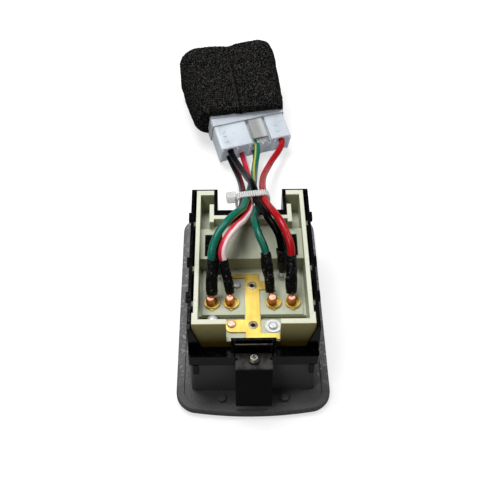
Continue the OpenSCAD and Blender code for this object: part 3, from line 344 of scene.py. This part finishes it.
def spun(profile, steps, about, axis):
    """Turns a profile of (radius, height) points about the axis through a point."""
    turned = bmesh.new()
    up = axis.normalized()
    side = up.orthogonal().normalized()
    rim = [turned.verts.new(about + side * r + up * h) for r, h in profile]
    edges = [turned.edges.new(pair) for pair in zip(rim, rim[1:])]
    bmesh.ops.spin(turned, geom=rim + edges, cent=about, axis=up, angle=2 * pi, steps=steps,
                   use_merge=True)
    bmesh.ops.remove_doubles(turned, verts=turned.verts, dist=1e-6)
    bmesh.ops.recalc_face_normals(turned, faces=turned.faces)
    return turned


for i, (foot, mouth) in enumerate(zip(sleeve_foot, sleeve_mouth)):
    foot, mouth = Vector(foot) * mm, Vector(mouth) * mm
    tall = (mouth - foot).length
    outer, inner = sleeve_d[i] / 2 * mm, wire_d / 2 + lead_gap
    wall = []
    for row in range(sleeve_rows + 1):
        up = row / sleeve_rows
        pinch = foot_pinch * (1 - min(1, up * 9))
        if sleeve_d[i] > sleeve_plain_d:
            pinch += mouth_pinch * max(0, up - 0.75) / 0.25
        wall.append((outer - (wall_sunk + pinch) * mm, tall * up))
    bore = [(inner + 0.0001, tall), (inner, tall - 0.002), (inner, tall - 0.006)]
    skin = spun([(inner, 0.0006), (inner, 0)] + wall + bore, sleeve_sides, foot, mouth - foot)
    for v in skin.verts:
        out = v.co - foot - (mouth - foot) * ((v.co - foot).dot(mouth - foot) / tall ** 2)
        if out.length > outer * 0.85:
            spot = Vector((v.co.x * 420, v.co.y * 420, v.co.z * 200)) + Vector((i * 7, 0, 0))
            fold = noise.noise(spot) * fold_deep - fold_sunk
            v.co += out.normalized() * min(fold_proud, fold)
    sleeve = from_bmesh("shrink_%d" % (i + 1), skin)
    wear(sleeve, shrink)
    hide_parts("sleeve_%d" % (i + 1))


# Foam sleeve. Open-cell black foam about 5 mm thick, glued into a tube round the connector
# to stop it rattling; its cut edges are soft and a crease runs down its upper face.
foam_black = Finish("open_cell_foam", roughness=0.95, Specular_IOR_Level=0.05)
plug_at, plug_yaw, plug_pitch = Vector((-12.5, 86.2, 0.3)) * mm, radians(18), radians(20)
plug_w, plug_h, plug_bare = 0.033, 0.011, 0.0155
foam_yaw, foam_shift = radians(10), -0.002
foam_from = plug_bare * cos(plug_pitch) - plug_h / 2 * sin(plug_pitch)
foam_frame = (Matrix.Translation(plug_at.xy.to_3d()) @ Matrix.Rotation(plug_yaw, 4, "Z")
              @ Matrix.Translation((plug_w / 2, foam_from, 0))
              @ Matrix.Rotation(foam_yaw - plug_yaw, 4, "Z")
              @ Matrix.Translation((foam_shift, 0, 0)))
seam_x, seam_lean = -0.0004, 0.03
pores = foam_black.cells(950, "DISTANCE_TO_EDGE")
fine = foam_black.cells(1900, "DISTANCE_TO_EDGE")
struts = pores.below(0.13, 0.12)
glints = foam_black.noise(1500, 2).above(0.54, 0.14)
across, along, up = foam_black.measured(foam_frame)
wander = (foam_black.noise(90, 2) - 0.5) * 0.0016
off_seam = across - along * seam_lean - seam_x + wander
upper = up.above(0.014, 0.004) * along.below(0.026, 0.012)
# Along the crease: a dark line of painted shade in the groove, and a lighter lip of painted highlight.
crease_and_shade = off_seam.abs().below(0.0005, 0.0005) * upper
crease_lip_highlight = (off_seam + 0.0008).abs().below(0.0005, 0.0006) * upper
# Pores are painted near-black as shade in the holes; glints on the struts are painted highlights.
shade = foam_black.mix(struts, tone(1, 1, 1), tone(33, 32, 31))
shade = foam_black.mix(struts * glints, shade, tone(92, 91, 89))
shade = foam_black.mix(crease_lip_highlight * 0.4, shade, tone(74, 72, 70))
foam_black.colour(foam_black.mix(crease_and_shade * 0.6, shade, tone(2, 2, 2)))
foam_black.relief(struts + fine.below(0.1, 0.1) * 0.4 - crease_and_shade, 0.0008)


def round_rect_at(share, w, h, r):
    """Point at a share of the way round a rounded rectangle, from the middle of its lower side."""
    r = min(r, w / 2 - 1e-5, h / 2 - 1e-5)
    flat_w, flat_h, bend = w - 2 * r, h - 2 * r, pi * r / 2
    left = share * (2 * (flat_w + flat_h) + 4 * bend) + flat_w / 2
    for turn, flat in enumerate((flat_w, flat_h, flat_w, flat_h, flat_w)):
        way = Vector((cos(turn * pi / 2), sin(turn * pi / 2)))
        side = Vector((way.y, -way.x))
        reach = h / 2 if turn % 2 == 0 else w / 2
        if left <= flat:
            return side * reach + way * (left - flat / 2)
        left -= flat
        if left <= bend:
            a = left / r
            return side * (reach - r + r * cos(a)) + way * (flat / 2 + r * sin(a))
        left -= bend
    return Vector((0, -h / 2))


# In mm: how far along, width, height, corner radius, and the middle's place across and up.
# The rows run from the near mouth over the outside and back into the far mouth.
foam_stations = [
    (1.5, 33.4, 11.4, 1.0, 2.0, 11.0), (0.2, 33.8, 11.8, 1.6, 2.0, 10.8),
    (-0.1, 38.0, 15.4, 6.0, 0.6, 11.8), (0.6, 40.6, 18.4, 8.0, 0.0, 11.8),
    (2.6, 41.6, 20.2, 8.5, 0.0, 11.8), (6.0, 42.4, 22.0, 8.5, 0.0, 12.0),
    (14.0, 44.0, 24.4, 8.5, 0.0, 12.2), (24.0, 45.4, 25.8, 8.5, 0.0, 12.9),
    (34.0, 46.0, 26.8, 8.5, 0.0, 13.4), (38.6, 45.2, 26.4, 8.5, 0.0, 13.4),
    (40.8, 42.5, 23.8, 8.0, 0.0, 13.8), (41.2, 36.0, 18.5, 6.0, 0.0, 14.4),
    (40.4, 29.0, 14.0, 4.0, 0.0, 15.4), (37.0, 26.4, 11.2, 2.5, 0.0, 15.5),
    (14.0, 26.4, 11.2, 2.5, 0.0, 15.5),
]
legs = [(Vector(b[:3]) - Vector(a[:3])).length for a, b in zip(foam_stations, foam_stations[1:])]


def foam_station(share):
    """The foam's section at a share of the way along its skin."""
    left = share * sum(legs)
    for a, b, leg in zip(foam_stations, foam_stations[1:], legs):
        if left <= leg or b is foam_stations[-1]:
            t = min(1, left / leg)
            return [p + (q - p) * t for p, q in zip(a, b)]
        left -= leg


foam_sides, foam_rows = ((380, 190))
lean_until, lean_z = 12, 11
slit_deep, slit_half_w, slit_until = 1.6, 0.9, 34
dip_deep, dip_half_w, dip_from = 1.2, 6, 27
corner_lift, corner_from = 2.2, 20
foam_sunk, lying_band, floor_gap = 0.1, 1.2, 0.05
foam = bmesh.new()
bmesh.ops.create_grid(foam, x_segments=foam_sides, y_segments=foam_rows, size=1)
for v in foam.verts:
    along, w, h, r, cu, cz = foam_station((v.co.y + 1) / 2)
    point = round_rect_at((v.co.x + 1) / 2, w, h, r)
    out = point.normalized()
    lean = max(0, 1 - along / lean_until) * tan(plug_pitch)
    spot = Vector((cu + point.x, along - (cz + point.y - lean_z) * lean, cz + point.y))
    lump = noise.noise(spot * 0.11) * 0.9 + noise.noise(spot * 0.3) * 0.35
    top = max(0, point.y / h * 2 - 0.6) / 0.4
    seam = abs(spot.x - along * seam_lean - seam_x / mm)
    slit = slit_deep * top * max(0, 1 - seam / slit_half_w) * max(0, 1 - along / slit_until)
    dip = dip_deep * top * max(0, 1 - seam / dip_half_w) * max(0, along - dip_from) / 10
    pore = noise.voronoi(spot * 0.95)[0]
    cell = min(0.7, (pore[1] - pore[0]) * 1.3)
    lift = lump * 0.6 - (slit + dip) * 0.6 - cell
    corner = max(0, point.x / w) * max(0, point.y / h) * 4
    corner *= min(1, max(0, along - corner_from) / 15)
    spot += Vector((1, 0, 1)) * corner ** 2 * corner_lift
    if point.y < -h / 2 + lying_band:
        lift = min(0, lift) * 0.3
    spot += Vector((out.x, 0, out.y)) * (lift - foam_sunk)
    spot.z = max(floor_gap, spot.z)
    v.co = foam_frame @ (spot * mm)
bmesh.ops.remove_doubles(foam, verts=foam.verts, dist=2e-6)
bmesh.ops.recalc_face_normals(foam, faces=foam.faces)
foam = from_bmesh("foam_wrap", foam)
wear(foam, foam_black)
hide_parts("foam_sleeve")


# Connector shell. Natural nylon, slightly cloudy and bluish where it is thick, moulded with
# lance windows. A faint glow stands for the light that comes through its walls.
plug_frame = (Matrix.Translation(plug_at) @ Matrix.Rotation(plug_yaw, 4, "Z")
              @ Matrix.Rotation(plug_pitch, 4, "X"))
nylon = Finish("natural_nylon", roughness=0.3, Specular_IOR_Level=0.5, Subsurface_Weight=0.7,
               Subsurface_Scale=0.006, Subsurface_Radius=(0.9, 0.97, 1.0), Coat_Weight=0.25,
               Emission_Color=(0.84, 0.92, 1.0, 1.0), Emission_Strength=0.1)
cloud = nylon.noise(120, 4, 0.6)
shade = nylon.mix(cloud, tone(178, 188, 198), tone(202, 211, 220))
across, reach, up = nylon.measured(plug_frame)
channel_up, channel_half_h = plug_h - 0.0012, 0.0006
channel_mid, channel_half_w = 0.01925, 0.0047
# The latch channel's floor is painted a darker grey as shade in the recess.
channel_shade = (up - channel_up).abs().below(channel_half_h, 0.0002)
channel_shade = channel_shade * (across - channel_mid).abs().below(channel_half_w, 0.0002)
nylon.colour(nylon.mix(channel_shade * reach.above(0.0, 0.0002), shade, tone(136, 138, 132)))
nylon.gloss(0.2 + nylon.noise(260, 3) * 0.2)
nylon.relief(nylon.noise(500, 3), 0.00012, edge=0.0003)
wear(nodes["connector_shell"], nylon)


# Connector retainer and crimps. The retainer is a bar of greyer nylon pressed into the shell
# behind the terminals, paler at its inner edge; its left part is painted darker as shade and
# its right part paler as painted light. The crimps are tinned brass, pushed into the cavities
# from behind.
retainer_grey = Finish("retainer_nylon", roughness=0.4, Subsurface_Weight=0.4,
                       Subsurface_Scale=0.003, Subsurface_Radius=(1.0, 1.0, 1.0))
across, reach = retainer_grey.measured(plug_frame)[:2]
lit_right_from, pale_from_inner = 0.0205, 0.0119
# Painted shade over the left part and painted light over the right.
shade = retainer_grey.mix(across.above(lit_right_from, 0.002), tone(126, 128, 121), tone(178, 181, 180))
shade = retainer_grey.mix(reach.above(pale_from_inner, 0.0003), shade, tone(176, 183, 192))
retainer_grey.colour(retainer_grey.mix(retainer_grey.noise(200, 4) * 0.4, shade, tone(206, 212, 220)))
retainer_grey.gloss(0.25 + retainer_grey.noise(400, 2) * 0.2)
retainer_grey.relief(retainer_grey.noise(600, 3), 0.0001, edge=0.0002)
wear(nodes["connector_retainer"], retainer_grey)
tin = Finish("tinned_metal", roughness=0.3, metallic=1.0)
tin.colour(tin.mix(tin.noise(700, 4, 0.7), tone(176, 174, 168), tone(226, 224, 218)))
tin.gloss(0.2 + tin.noise(900, 3) * 0.25)
tin.relief(tin.noise(1400, 3), 0.00008, edge=0.0001)
wear(nodes["crimp_terminals"], tin)


# Ribs and lances of the connector. Small detail moulded with the shell: two stepped lances
# and two window fillings on its upper face, ribs between the cavities and a cheek at each end.
lances, windows = (2.4, 26.6), (2.0, 29.0)
ribs, cheeks = (7.2, 13.2, 19.2, 25.2), (0.0, 32.0)
face = plug_h / mm
blocks = []
for at in lances:
    blocks.append((at, at + 2.0, 3.0, 4.4, face - 0.5, face + 0.3))
    blocks.append((at + 0.3, at + 2.0, 6.0, 7.2, face - 0.5, face + 0.3))
for at in windows:
    blocks.append((at - 0.1, at + 2.5, 7.9, 11.1, face - 1.0, face + 0.05))
for at in ribs:
    blocks.append((at, at + 0.6, -0.9, 0.3, 1.0, face - 1.0))
for at in cheeks:
    blocks.append((at, at + 1.0, -0.7, 0.5, 0.5, face - 0.6))
moulded = bmesh.new()
for u0, u1, t0, t1, v0, v1 in blocks:
    made = bmesh.ops.create_cube(moulded, size=1)["verts"]
    bmesh.ops.scale(moulded, verts=made, vec=((u1 - u0) * mm, (t1 - t0) * mm, (v1 - v0) * mm))
    middle = Vector(((u0 + u1) / 2, (t0 + t1) / 2, (v0 + v1) / 2)) * mm
    bmesh.ops.translate(moulded, verts=made, vec=middle)
bmesh.ops.bevel(moulded, geom=moulded.edges, offset=0.00015, segments=2, profile=0.5,
                affect="EDGES", material=-1)
bmesh.ops.transform(moulded, verts=moulded.verts, matrix=plug_frame)
details = from_bmesh("connector_ribs_and_lances", moulded, smooth=False)
wear(details, nylon)


# Cable tie. Natural nylon strap, 2.8 mm wide with a ribbed outer face, pulled round the six
# leads through the square lock at its left; its loose end is trimmed close to the lock.
tie_nylon = Finish("tie_nylon", roughness=0.25, Subsurface_Weight=0.3, Subsurface_Scale=0.002,
                   Subsurface_Radius=(1.0, 1.0, 1.0))
teeth = 46
along = tie_nylon.axes(tie_nylon.node("ShaderNodeTexCoord", {}, {}, "UV"))[1]
ridge = ((along * teeth).math("FRACT") - 0.5).abs().below(0.28, 0.2)
cloud = tie_nylon.noise(500, 3)
tie_nylon.colour(tie_nylon.mix(ridge, tone(218, 217, 216), tone(244, 244, 243)))
tie_nylon.set("Alpha", 0.46 + ridge * 0.16 + cloud * 0.16)
tie_nylon.gloss(0.18 + cloud * 0.2)
tie_nylon.relief(cloud + ridge, 0.0002)
tie_frame = Matrix.Translation(Vector((0.9, 21.8, 36.2)) * mm) @ Matrix.Rotation(radians(8), 4, "Z")
tie_in_w, tie_in_h, tie_t, tie_w, tie_bend = 11.4, 7.4, 0.8, 2.8, 1.8
toothed, tooth_high = 0.86, 0.12
# Points round the strap's section, as shares of its width and of its thickness.
strap_section = [(-0.5, 0.06), (-0.44, 0.0), (0.44, 0.0), (0.5, 0.06), (0.5, 0.82), (0.42, 0.94),
                 (0.36, toothed), (-0.36, toothed), (-0.42, 0.94), (-0.5, 0.82)]
strap = bmesh.new()
strap.loops.layers.uv.new("around_along")
bmesh.ops.create_grid(strap, x_segments=len(strap_section), y_segments=300, size=1, calc_uvs=True)
for v in strap.verts:
    across, up = strap_section[round((v.co.x + 1) / 2 * len(strap_section)) % len(strap_section)]
    share = (v.co.y + 1) / 2
    if up == toothed:
        up += tooth_high * (share * teeth % 1) - tooth_high / 2
    rise = up * tie_t
    point = round_rect_at(share, tie_in_w + 2 * rise, tie_in_h + 2 * rise, tie_bend + rise)
    v.co = tie_frame @ (Vector((point.x, across * tie_w, point.y)) * mm)
bmesh.ops.remove_doubles(strap, verts=strap.verts, dist=1e-6)
lock_size = (3.7, 3.5, 3.4)
lock_at = Vector((-(tie_in_w / 2 + tie_t + 1.5), 0, tie_in_h / 2 + tie_t - 1.3))
lock = bmesh.new()
bmesh.ops.create_cube(lock, size=1)
bmesh.ops.scale(lock, verts=lock.verts, vec=[d * mm for d in lock_size])
bmesh.ops.bevel(lock, geom=lock.edges, offset=0.0007, segments=3, profile=0.5,
                affect="EDGES", material=-1)
mouth = max(lock.faces, key=lambda f: f.normal.z * f.calc_area())
bmesh.ops.inset_individual(lock, faces=[mouth], thickness=0.0006, depth=0)
bmesh.ops.translate(lock, verts=mouth.verts, vec=(0, 0, -0.0009))
bmesh.ops.transform(lock, verts=lock.verts, matrix=tie_frame @ Matrix.Translation(lock_at * mm))
for part in (strap, lock):
    bmesh.ops.recalc_face_normals(part, faces=part.faces)
mesh = bpy.data.meshes.new("lock_copy")
lock.to_mesh(mesh)
strap.from_mesh(mesh)
lock.free()
tie = from_bmesh("tie_band", strap)
wear(tie, tie_nylon)
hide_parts("cable_tie")


# Bezel. Moulded in mid grey with a fine spark-eroded grain, its rim rubbed and speckled
# where it has been handled.
bezel_grey = Finish("bezel_grey", roughness=0.5, Specular_IOR_Level=0.25)
x, y = bezel_grey.axes()[:2]
grain = bezel_grey.cells(1500)
cloud = bezel_grey.noise(60, 5, 0.65)
specks = bezel_grey.noise(1300, 3, 0.7).above(0.64, 0.08) * bezel_grey.noise(90, 3).above(0.56, 0.16)
rim_from_x, rim_from_y = 0.0228, -0.034
rim = (x.abs() - rim_from_x).above(0.0, 0.0016) * y.above(rim_from_y, 0.012)
rubbed = rim * bezel_grey.noise(45, 4, 0.7, bezel_grey.stretch(1, 0.35, 1)).above(0.42, 0.3)
shade = bezel_grey.mix(cloud, tone(62, 62, 62), tone(78, 78, 78))
shade = bezel_grey.mix(rubbed * 0.5, shade, tone(124, 124, 125))
scuffs = bezel_grey.noise(700, 3, 0.75).above(0.6, 0.08) * rubbed
bezel_grey.colour(bezel_grey.mix(specks * 0.25 + scuffs * 0.8, shade, tone(186, 186, 187)))
bezel_grey.gloss(0.36 + cloud * 0.25)
bezel_grey.relief(grain * 0.6 + cloud * 0.4, 0.00016, edge=0.0003)
wear(nodes["bezel"], bezel_grey)


# Rockers. The two window keys, moulded in a slightly lighter grey with the same grain. They
# turn on the steel axle, on the face that the switch lies on.
rocker_grey = Finish("rocker_grey", roughness=0.5)
cloud = rocker_grey.noise(90, 5, 0.6)
rocker_grey.colour(rocker_grey.mix(cloud, tone(70, 70, 72), tone(88, 88, 90)))
rocker_grey.gloss(0.4 + cloud * 0.2)
rocker_grey.relief(rocker_grey.cells(1500), 0.0002)
for name in ("rocker_left", "rocker_right"):
    wear(nodes[name], rocker_grey)


# Housing. Glossy black moulding; it shows flow marks, dust and fine scratches under a
# strong light.
gloss_black = Finish("gloss_black", roughness=0.12, Specular_IOR_Level=0.12)
dust = gloss_black.noise(1100, 3, 0.75).above(0.64, 0.1)
cloud = gloss_black.noise(70, 5, 0.6)
gloss_black.colour(gloss_black.mix(dust * 0.22, tone(3, 3, 4), tone(70, 68, 64)))
gloss_black.gloss(0.06 + cloud * 0.2 + dust * 0.2)
gloss_black.relief(cloud * 0.9 + gloss_black.noise(300, 3) * 0.1, 0.0003, edge=0.0003)
wear(nodes["housing"], gloss_black)


# Spring clip. Spring steel under a smooth black enamel, held by one screw. A dashed pale line
# of painted reflection runs along the top edge of the leg that stands inside the hood.
enamel = Finish("clip_enamel", roughness=0.2, Specular_IOR_Level=0.05)
y, z = enamel.axes()[1:]
leg_top, leg_back = 0.02815, -0.0387
plate_low, plate_high = 0.0231, 0.0242
# A dashed pale yellowish line along the leg's top edge: a painted reflection of the cream base.
leg_edge = z.above(leg_top, 0.0001) * y.above(leg_back, 0.0001)
# The flat top plate is lighter and browner in patches: partly enamel wear, partly painted sheen.
plate = z.above(plate_low, 0.0003) * z.below(plate_high, 0.0003)
plate = plate * enamel.noise(300, 4, 0.7).above(0.42, 0.3)
edge_reflection = leg_edge * enamel.noise(700, 3, 0.7).above(0.44, 0.2)
film = enamel.noise(90, 4, 0.6)
shade = enamel.mix(plate, enamel.mix(film, tone(0, 0, 2), tone(3, 3, 8)), tone(60, 59, 57))
enamel.colour(enamel.mix(edge_reflection, shade, tone(92, 90, 68)))
enamel.gloss(0.14 + film * 0.2)
enamel.relief(film, 0.0002, edge=0.0003)
wear(nodes["spring_clip"], enamel)


# Clip screw. A pan-head steel screw in dull zinc plate, driven through the clip into the boss
# under the hood.
zinc = Finish("dull_zinc", roughness=0.35, metallic=1.0)
zinc.colour(zinc.mix(zinc.noise(700, 4, 0.7), tone(64, 61, 56), tone(146, 142, 132)))
zinc.gloss(0.25 + zinc.noise(900, 3) * 0.25)
zinc.relief(zinc.noise(1100, 3), 0.00012, edge=0.00012)
wear(nodes["clip_screw"], zinc)


# Terminal base. Cream urea-like moulding with a soft satin face. Inside the tray it is painted
# greener and darker as shade, olive on faces that look towards the near end, and its near face
# is painted from pale olive down to dark olive at its foot as shade.
cream = Finish("cream_moulding", roughness=0.45, Specular_IOR_Level=0.3, Subsurface_Weight=0.12,
               Subsurface_Scale=0.002, Subsurface_Radius=(1.0, 0.9, 0.7))
cloud = cream.noise(80, 5, 0.62)
y, z = cream.axes()[1:]
near_face_y, shaded_under_z, rim_z = -0.0352, 0.0300, 0.0346
# The near face: painted shade, from pale olive at the top to dark olive at its foot.
near_face_shade = y.below(near_face_y, 0.0003)
low = z.below(shaded_under_z, 0.0090)
# Below the rim: painted shade, greener and darker inside the tray.
inside = z.below(rim_z, 0.0006)
shade = cream.mix(cloud, tone(200, 202, 182), tone(219, 221, 201))
shade = cream.mix(inside * 0.7, shade, cream.mix(cloud, tone(150, 158, 136), tone(176, 182, 156)))
# Inside faces that look towards the near end: a painted olive shade.
facing_near_shade = cream.axes(cream.node("ShaderNodeNewGeometry", {}, {}, "True Normal"))[1].below(-0.7, 0.3)
shade = cream.mix(inside * facing_near_shade * 0.5, shade, tone(128, 124, 70))
shade = cream.mix(near_face_shade, shade, cream.mix(low, tone(160, 152, 94), tone(70, 56, 0)))
cream.colour(cream.mix(cream.noise(700, 3, 0.7).above(0.66, 0.1) * 0.3, shade, tone(96, 98, 78)))
cream.gloss(0.36 + cloud * 0.2)
cream.relief(cloud * 0.5 + cream.noise(600, 3) * 0.5, 0.00012, edge=0.00018)
wear(nodes["terminal_base"], cream)


# Brass strap and cups. Stamped and dished from bright sheet, lightly tarnished and with fine
# rolling lines; its darker olive-brown blotches are painted reflections. The cups are seated in
# the base, and the strap is riveted to it.
brass = Finish("stamped_brass", roughness=0.3, metallic=0.85)
rolled = brass.noise(260, 4, 0.6, brass.stretch(1, 0.08, 1))
tarnish = brass.noise(150, 5, 0.65)
# Darker olive-brown blotches: painted reflections.
reflection_blotches = brass.noise(90, 4, 0.6, brass.stretch(1, 0.4, 1)).above(0.56, 0.14)
shade = brass.mix(tarnish, tone(196, 160, 66), tone(226, 199, 110))
brass.colour(brass.mix(reflection_blotches * 0.7, shade, tone(156, 126, 58)))
brass.gloss(0.24 + rolled * 0.3)
brass.relief(rolled + tarnish * 0.4, 0.00012, edge=0.00012)
for name in ("earth_strap", "terminal_1", "terminal_2", "terminal_3", "terminal_4"):
    wear(nodes[name], brass)


# Eyelets. Two rolled eyelets that hold the earth strap down, of thin plated metal that has
# gone dull and brownish.
eyelet_metal = Finish("tarnished_eyelet", roughness=0.4, metallic=0.8)
eyelet_metal.colour(eyelet_metal.mix(eyelet_metal.noise(900, 3), tone(104, 96, 76), tone(176, 166, 136)))
eyelet_metal.gloss(0.35 + eyelet_metal.noise(700, 3) * 0.25)
eyelet_metal.relief(eyelet_metal.noise(1200, 3), 0.0001)
for name in ("eyelet_near", "eyelet_far"):
    wear(nodes[name], eyelet_metal)


# Rivets, washer and corner stud. Bright tinned metal with a satin skin. The corner stud is
# spun here with its full domed head, so that it shows over the near rim.
bright_tin = Finish("bright_tin", roughness=0.35, metallic=0.35)
bright_tin.colour(bright_tin.mix(bright_tin.noise(900, 4, 0.7), tone(162, 164, 162), tone(222, 224, 224)))
bright_tin.gloss(0.25 + bright_tin.noise(900, 3) * 0.25)
bright_tin.relief(bright_tin.noise(1400, 3), 0.00008, edge=0.0001)
for name in ("earth_washer", "earth_rivet", "corner_rivet", "deck_rivet"):
    wear(nodes[name], bright_tin)
stud_at = Vector((-13.9, -26, 22.8)) * mm
stud_h, stud_r, head_high, stud_sides = 3.9, 1.3, 1.3, 40
stud_side = [(0, 0), (stud_r, 0), (stud_r, stud_h - head_high), (1.9, stud_h - head_high),
             (1.95, stud_h - 1.0), (1.6, stud_h - 0.4), (0.9, stud_h - 0.1), (0, stud_h)]
stud = spun([(r * mm, h * mm) for r, h in stud_side], stud_sides, stud_at, Vector((0, 0, 1)))
stud = from_bmesh("corner_stud", stud)
wear(stud, bright_tin)
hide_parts("corner_rivet")


# Stake rivet. A soft pinkish plated rivet, set by pressing its head over, beside the earth
# strap's lobe.
stake = Finish("pink_stake", roughness=0.4, metallic=0.4)
stake.colour(stake.mix(stake.noise(800, 3), tone(226, 176, 146), tone(250, 214, 190)))
stake.gloss(0.3 + stake.noise(900, 3) * 0.25)
stake.relief(stake.noise(1200, 3), 0.0001, edge=0.00015)
wear(nodes["stake_rivet"], stake)


# Rear terminals and fixed contacts. Stamped from tinned sheet, like the crimps, and pressed
# into the base.
for name in ("terminal_5", "terminal_6", "fixed_contact_near_left", "fixed_contact_far_left",
             "fixed_contact_near_right", "fixed_contact_far_right"):
    wear(nodes[name], tin)


# Copper stubs, contact levers and cradles. Bare copper: the stubs are cut short above the
# cups, with a paler cut end, and at their feet carry a painted reflection of the brass cups.
copper = Finish("bare_copper", roughness=0.3, metallic=1.0)
z = copper.axes()[2]
stub_end, stub_foot = 0.02915, 0.0281
lip = z.above(stub_end, 0.0002)
# At a stub's foot the copper is painted brass-brown as a reflection of the cup.
foot = z.below(stub_foot, 0.0012)
shade = copper.mix(copper.noise(500, 4), tone(196, 100, 46), tone(232, 150, 96))
shade = copper.mix(foot * 0.8, shade, tone(170, 122, 44))
cut_end = copper.mix(copper.noise(900, 3), tone(222, 150, 116), tone(244, 184, 156))
copper.colour(copper.mix(lip, shade, cut_end))
copper.gloss(0.34 + copper.noise(800, 3) * 0.25)
copper.relief(copper.noise(1200, 3), 0.00012, edge=0.00015)
for name in ("copper_post_1", "copper_post_2", "copper_post_3", "copper_post_4", "contact_lever_left",
             "contact_lever_right", "lever_cradle_left", "lever_cradle_right"):
    wear(nodes[name], copper)


# Axle, plunger springs and plungers. The axle and the springs are drawn steel wire, hidden
# inside the housing with the plungers, which are moulded in the connector's nylon.
steel = Finish("spring_steel", roughness=0.3, metallic=1.0)
steel.colour(steel.mix(steel.noise(400, 4), tone(120, 118, 114), tone(186, 184, 180)))
steel.gloss(0.2 + steel.noise(700, 3) * 0.25)
steel.relief(steel.noise(900, 3), 0.00008)
for name in ("rocker_axle", "plunger_spring_left", "plunger_spring_right"):
    wear(nodes[name], steel)
for name in ("plunger_left", "plunger_right"):
    wear(nodes[name], nylon)


# Floor and light. A white paper sweep just under the part, which glows for the camera and is
# dimmer for the light that it throws back. It is clear from below, so that the part can be
# seen from there, and three soft boxes and a white room light it.
floor_half, floor_drop = 3, 0.0003
floor = bmesh.new()
bmesh.ops.create_grid(floor, x_segments=1, y_segments=1, size=floor_half)
bmesh.ops.translate(floor, verts=floor.verts, vec=(0, 0, -floor_drop))
mesh = bpy.data.meshes.new("floor")
floor.to_mesh(mesh)
floor = bpy.data.objects.new("floor", mesh)
scene.collection.objects.link(floor)
paper = Finish("white_sweep", roughness=0.9, Specular_IOR_Level=0.0, Emission_Strength=0.62)
paper.colour(paper.mix(paper.noise(20, 2), (0.42, 0.42, 0.42, 1), (0.44, 0.44, 0.44, 1)))
away = paper.node("ShaderNodeVectorMath", {"operation": "LENGTH"}, {0: paper.place}, 1)
far = away.above(0.9, 1.4)
paper.set("Emission Color", paper.mix(far, (1, 1, 1, 1), (1.42, 1.42, 1.42, 1)))
rays = paper.node("ShaderNodeLightPath", {}, {}).socket.node
seen = Val(paper, rays.outputs["Is Camera Ray"]) + Val(paper, rays.outputs["Is Glossy Ray"]) * 0.3
seen = (seen + Val(paper, rays.outputs["Is Transmission Ray"])).math("MINIMUM", 1)
dim = paper.node("ShaderNodeBsdfDiffuse", {}, {"Color": (0.3, 0.3, 0.3, 1)})
sweep = paper.node("ShaderNodeMixShader", {}, {0: seen, 1: dim, 2: Val(paper, paper.shader.outputs[0])})
below = paper.node("ShaderNodeNewGeometry", {}, {}, "Backfacing")
clear = paper.node("ShaderNodeBsdfTransparent", {}, {})
sweep = paper.node("ShaderNodeMixShader", {}, {0: below, 1: sweep, 2: clear})
paper.tree.links.new(sweep.socket, paper.tree.nodes["Material Output"].inputs["Surface"])
floor.data.materials.append(paper.material)
world = bpy.data.worlds.new("studio")
scene.world = world
world.use_nodes = True
sky = world.node_tree.nodes["Background"]
sky.inputs["Color"].default_value = (1, 1, 1, 1)
seen = world.node_tree.nodes.new("ShaderNodeLightPath").outputs["Is Camera Ray"]
level = world.node_tree.nodes.new("ShaderNodeMapRange")
level.inputs["To Min"].default_value = 0.14
level.inputs["To Max"].default_value = 0.95
world.node_tree.links.new(seen, level.inputs["Value"])
world.node_tree.links.new(level.outputs[0], sky.inputs["Strength"])


def soft_box(name, at, towards, width, power):
    lamp = bpy.data.lights.new(name, "AREA")
    lamp.shape = "RECTANGLE"
    lamp.size = width
    lamp.size_y = width * 0.7
    lamp.energy = power
    lit = bpy.data.objects.new(name, lamp)
    scene.collection.objects.link(lit)
    way = (Vector(towards) - Vector(at)).to_track_quat("-Z", "Y")
    lit.matrix_world = Matrix.Translation(at) @ way.to_matrix().to_4x4()


soft_box("key_light", (-0.15, 0.22, 0.75), (0, 0.03, 0), 0.45, 5.0)
soft_box("front_light", (-0.3, -0.35, 0.65), (0, 0.03, 0), 0.25, 1.4)
soft_box("side_light", (0.42, 0.1, 0.6), (0, 0.03, 0), 0.25, 1.3)

bpy.context.view_layer.update()
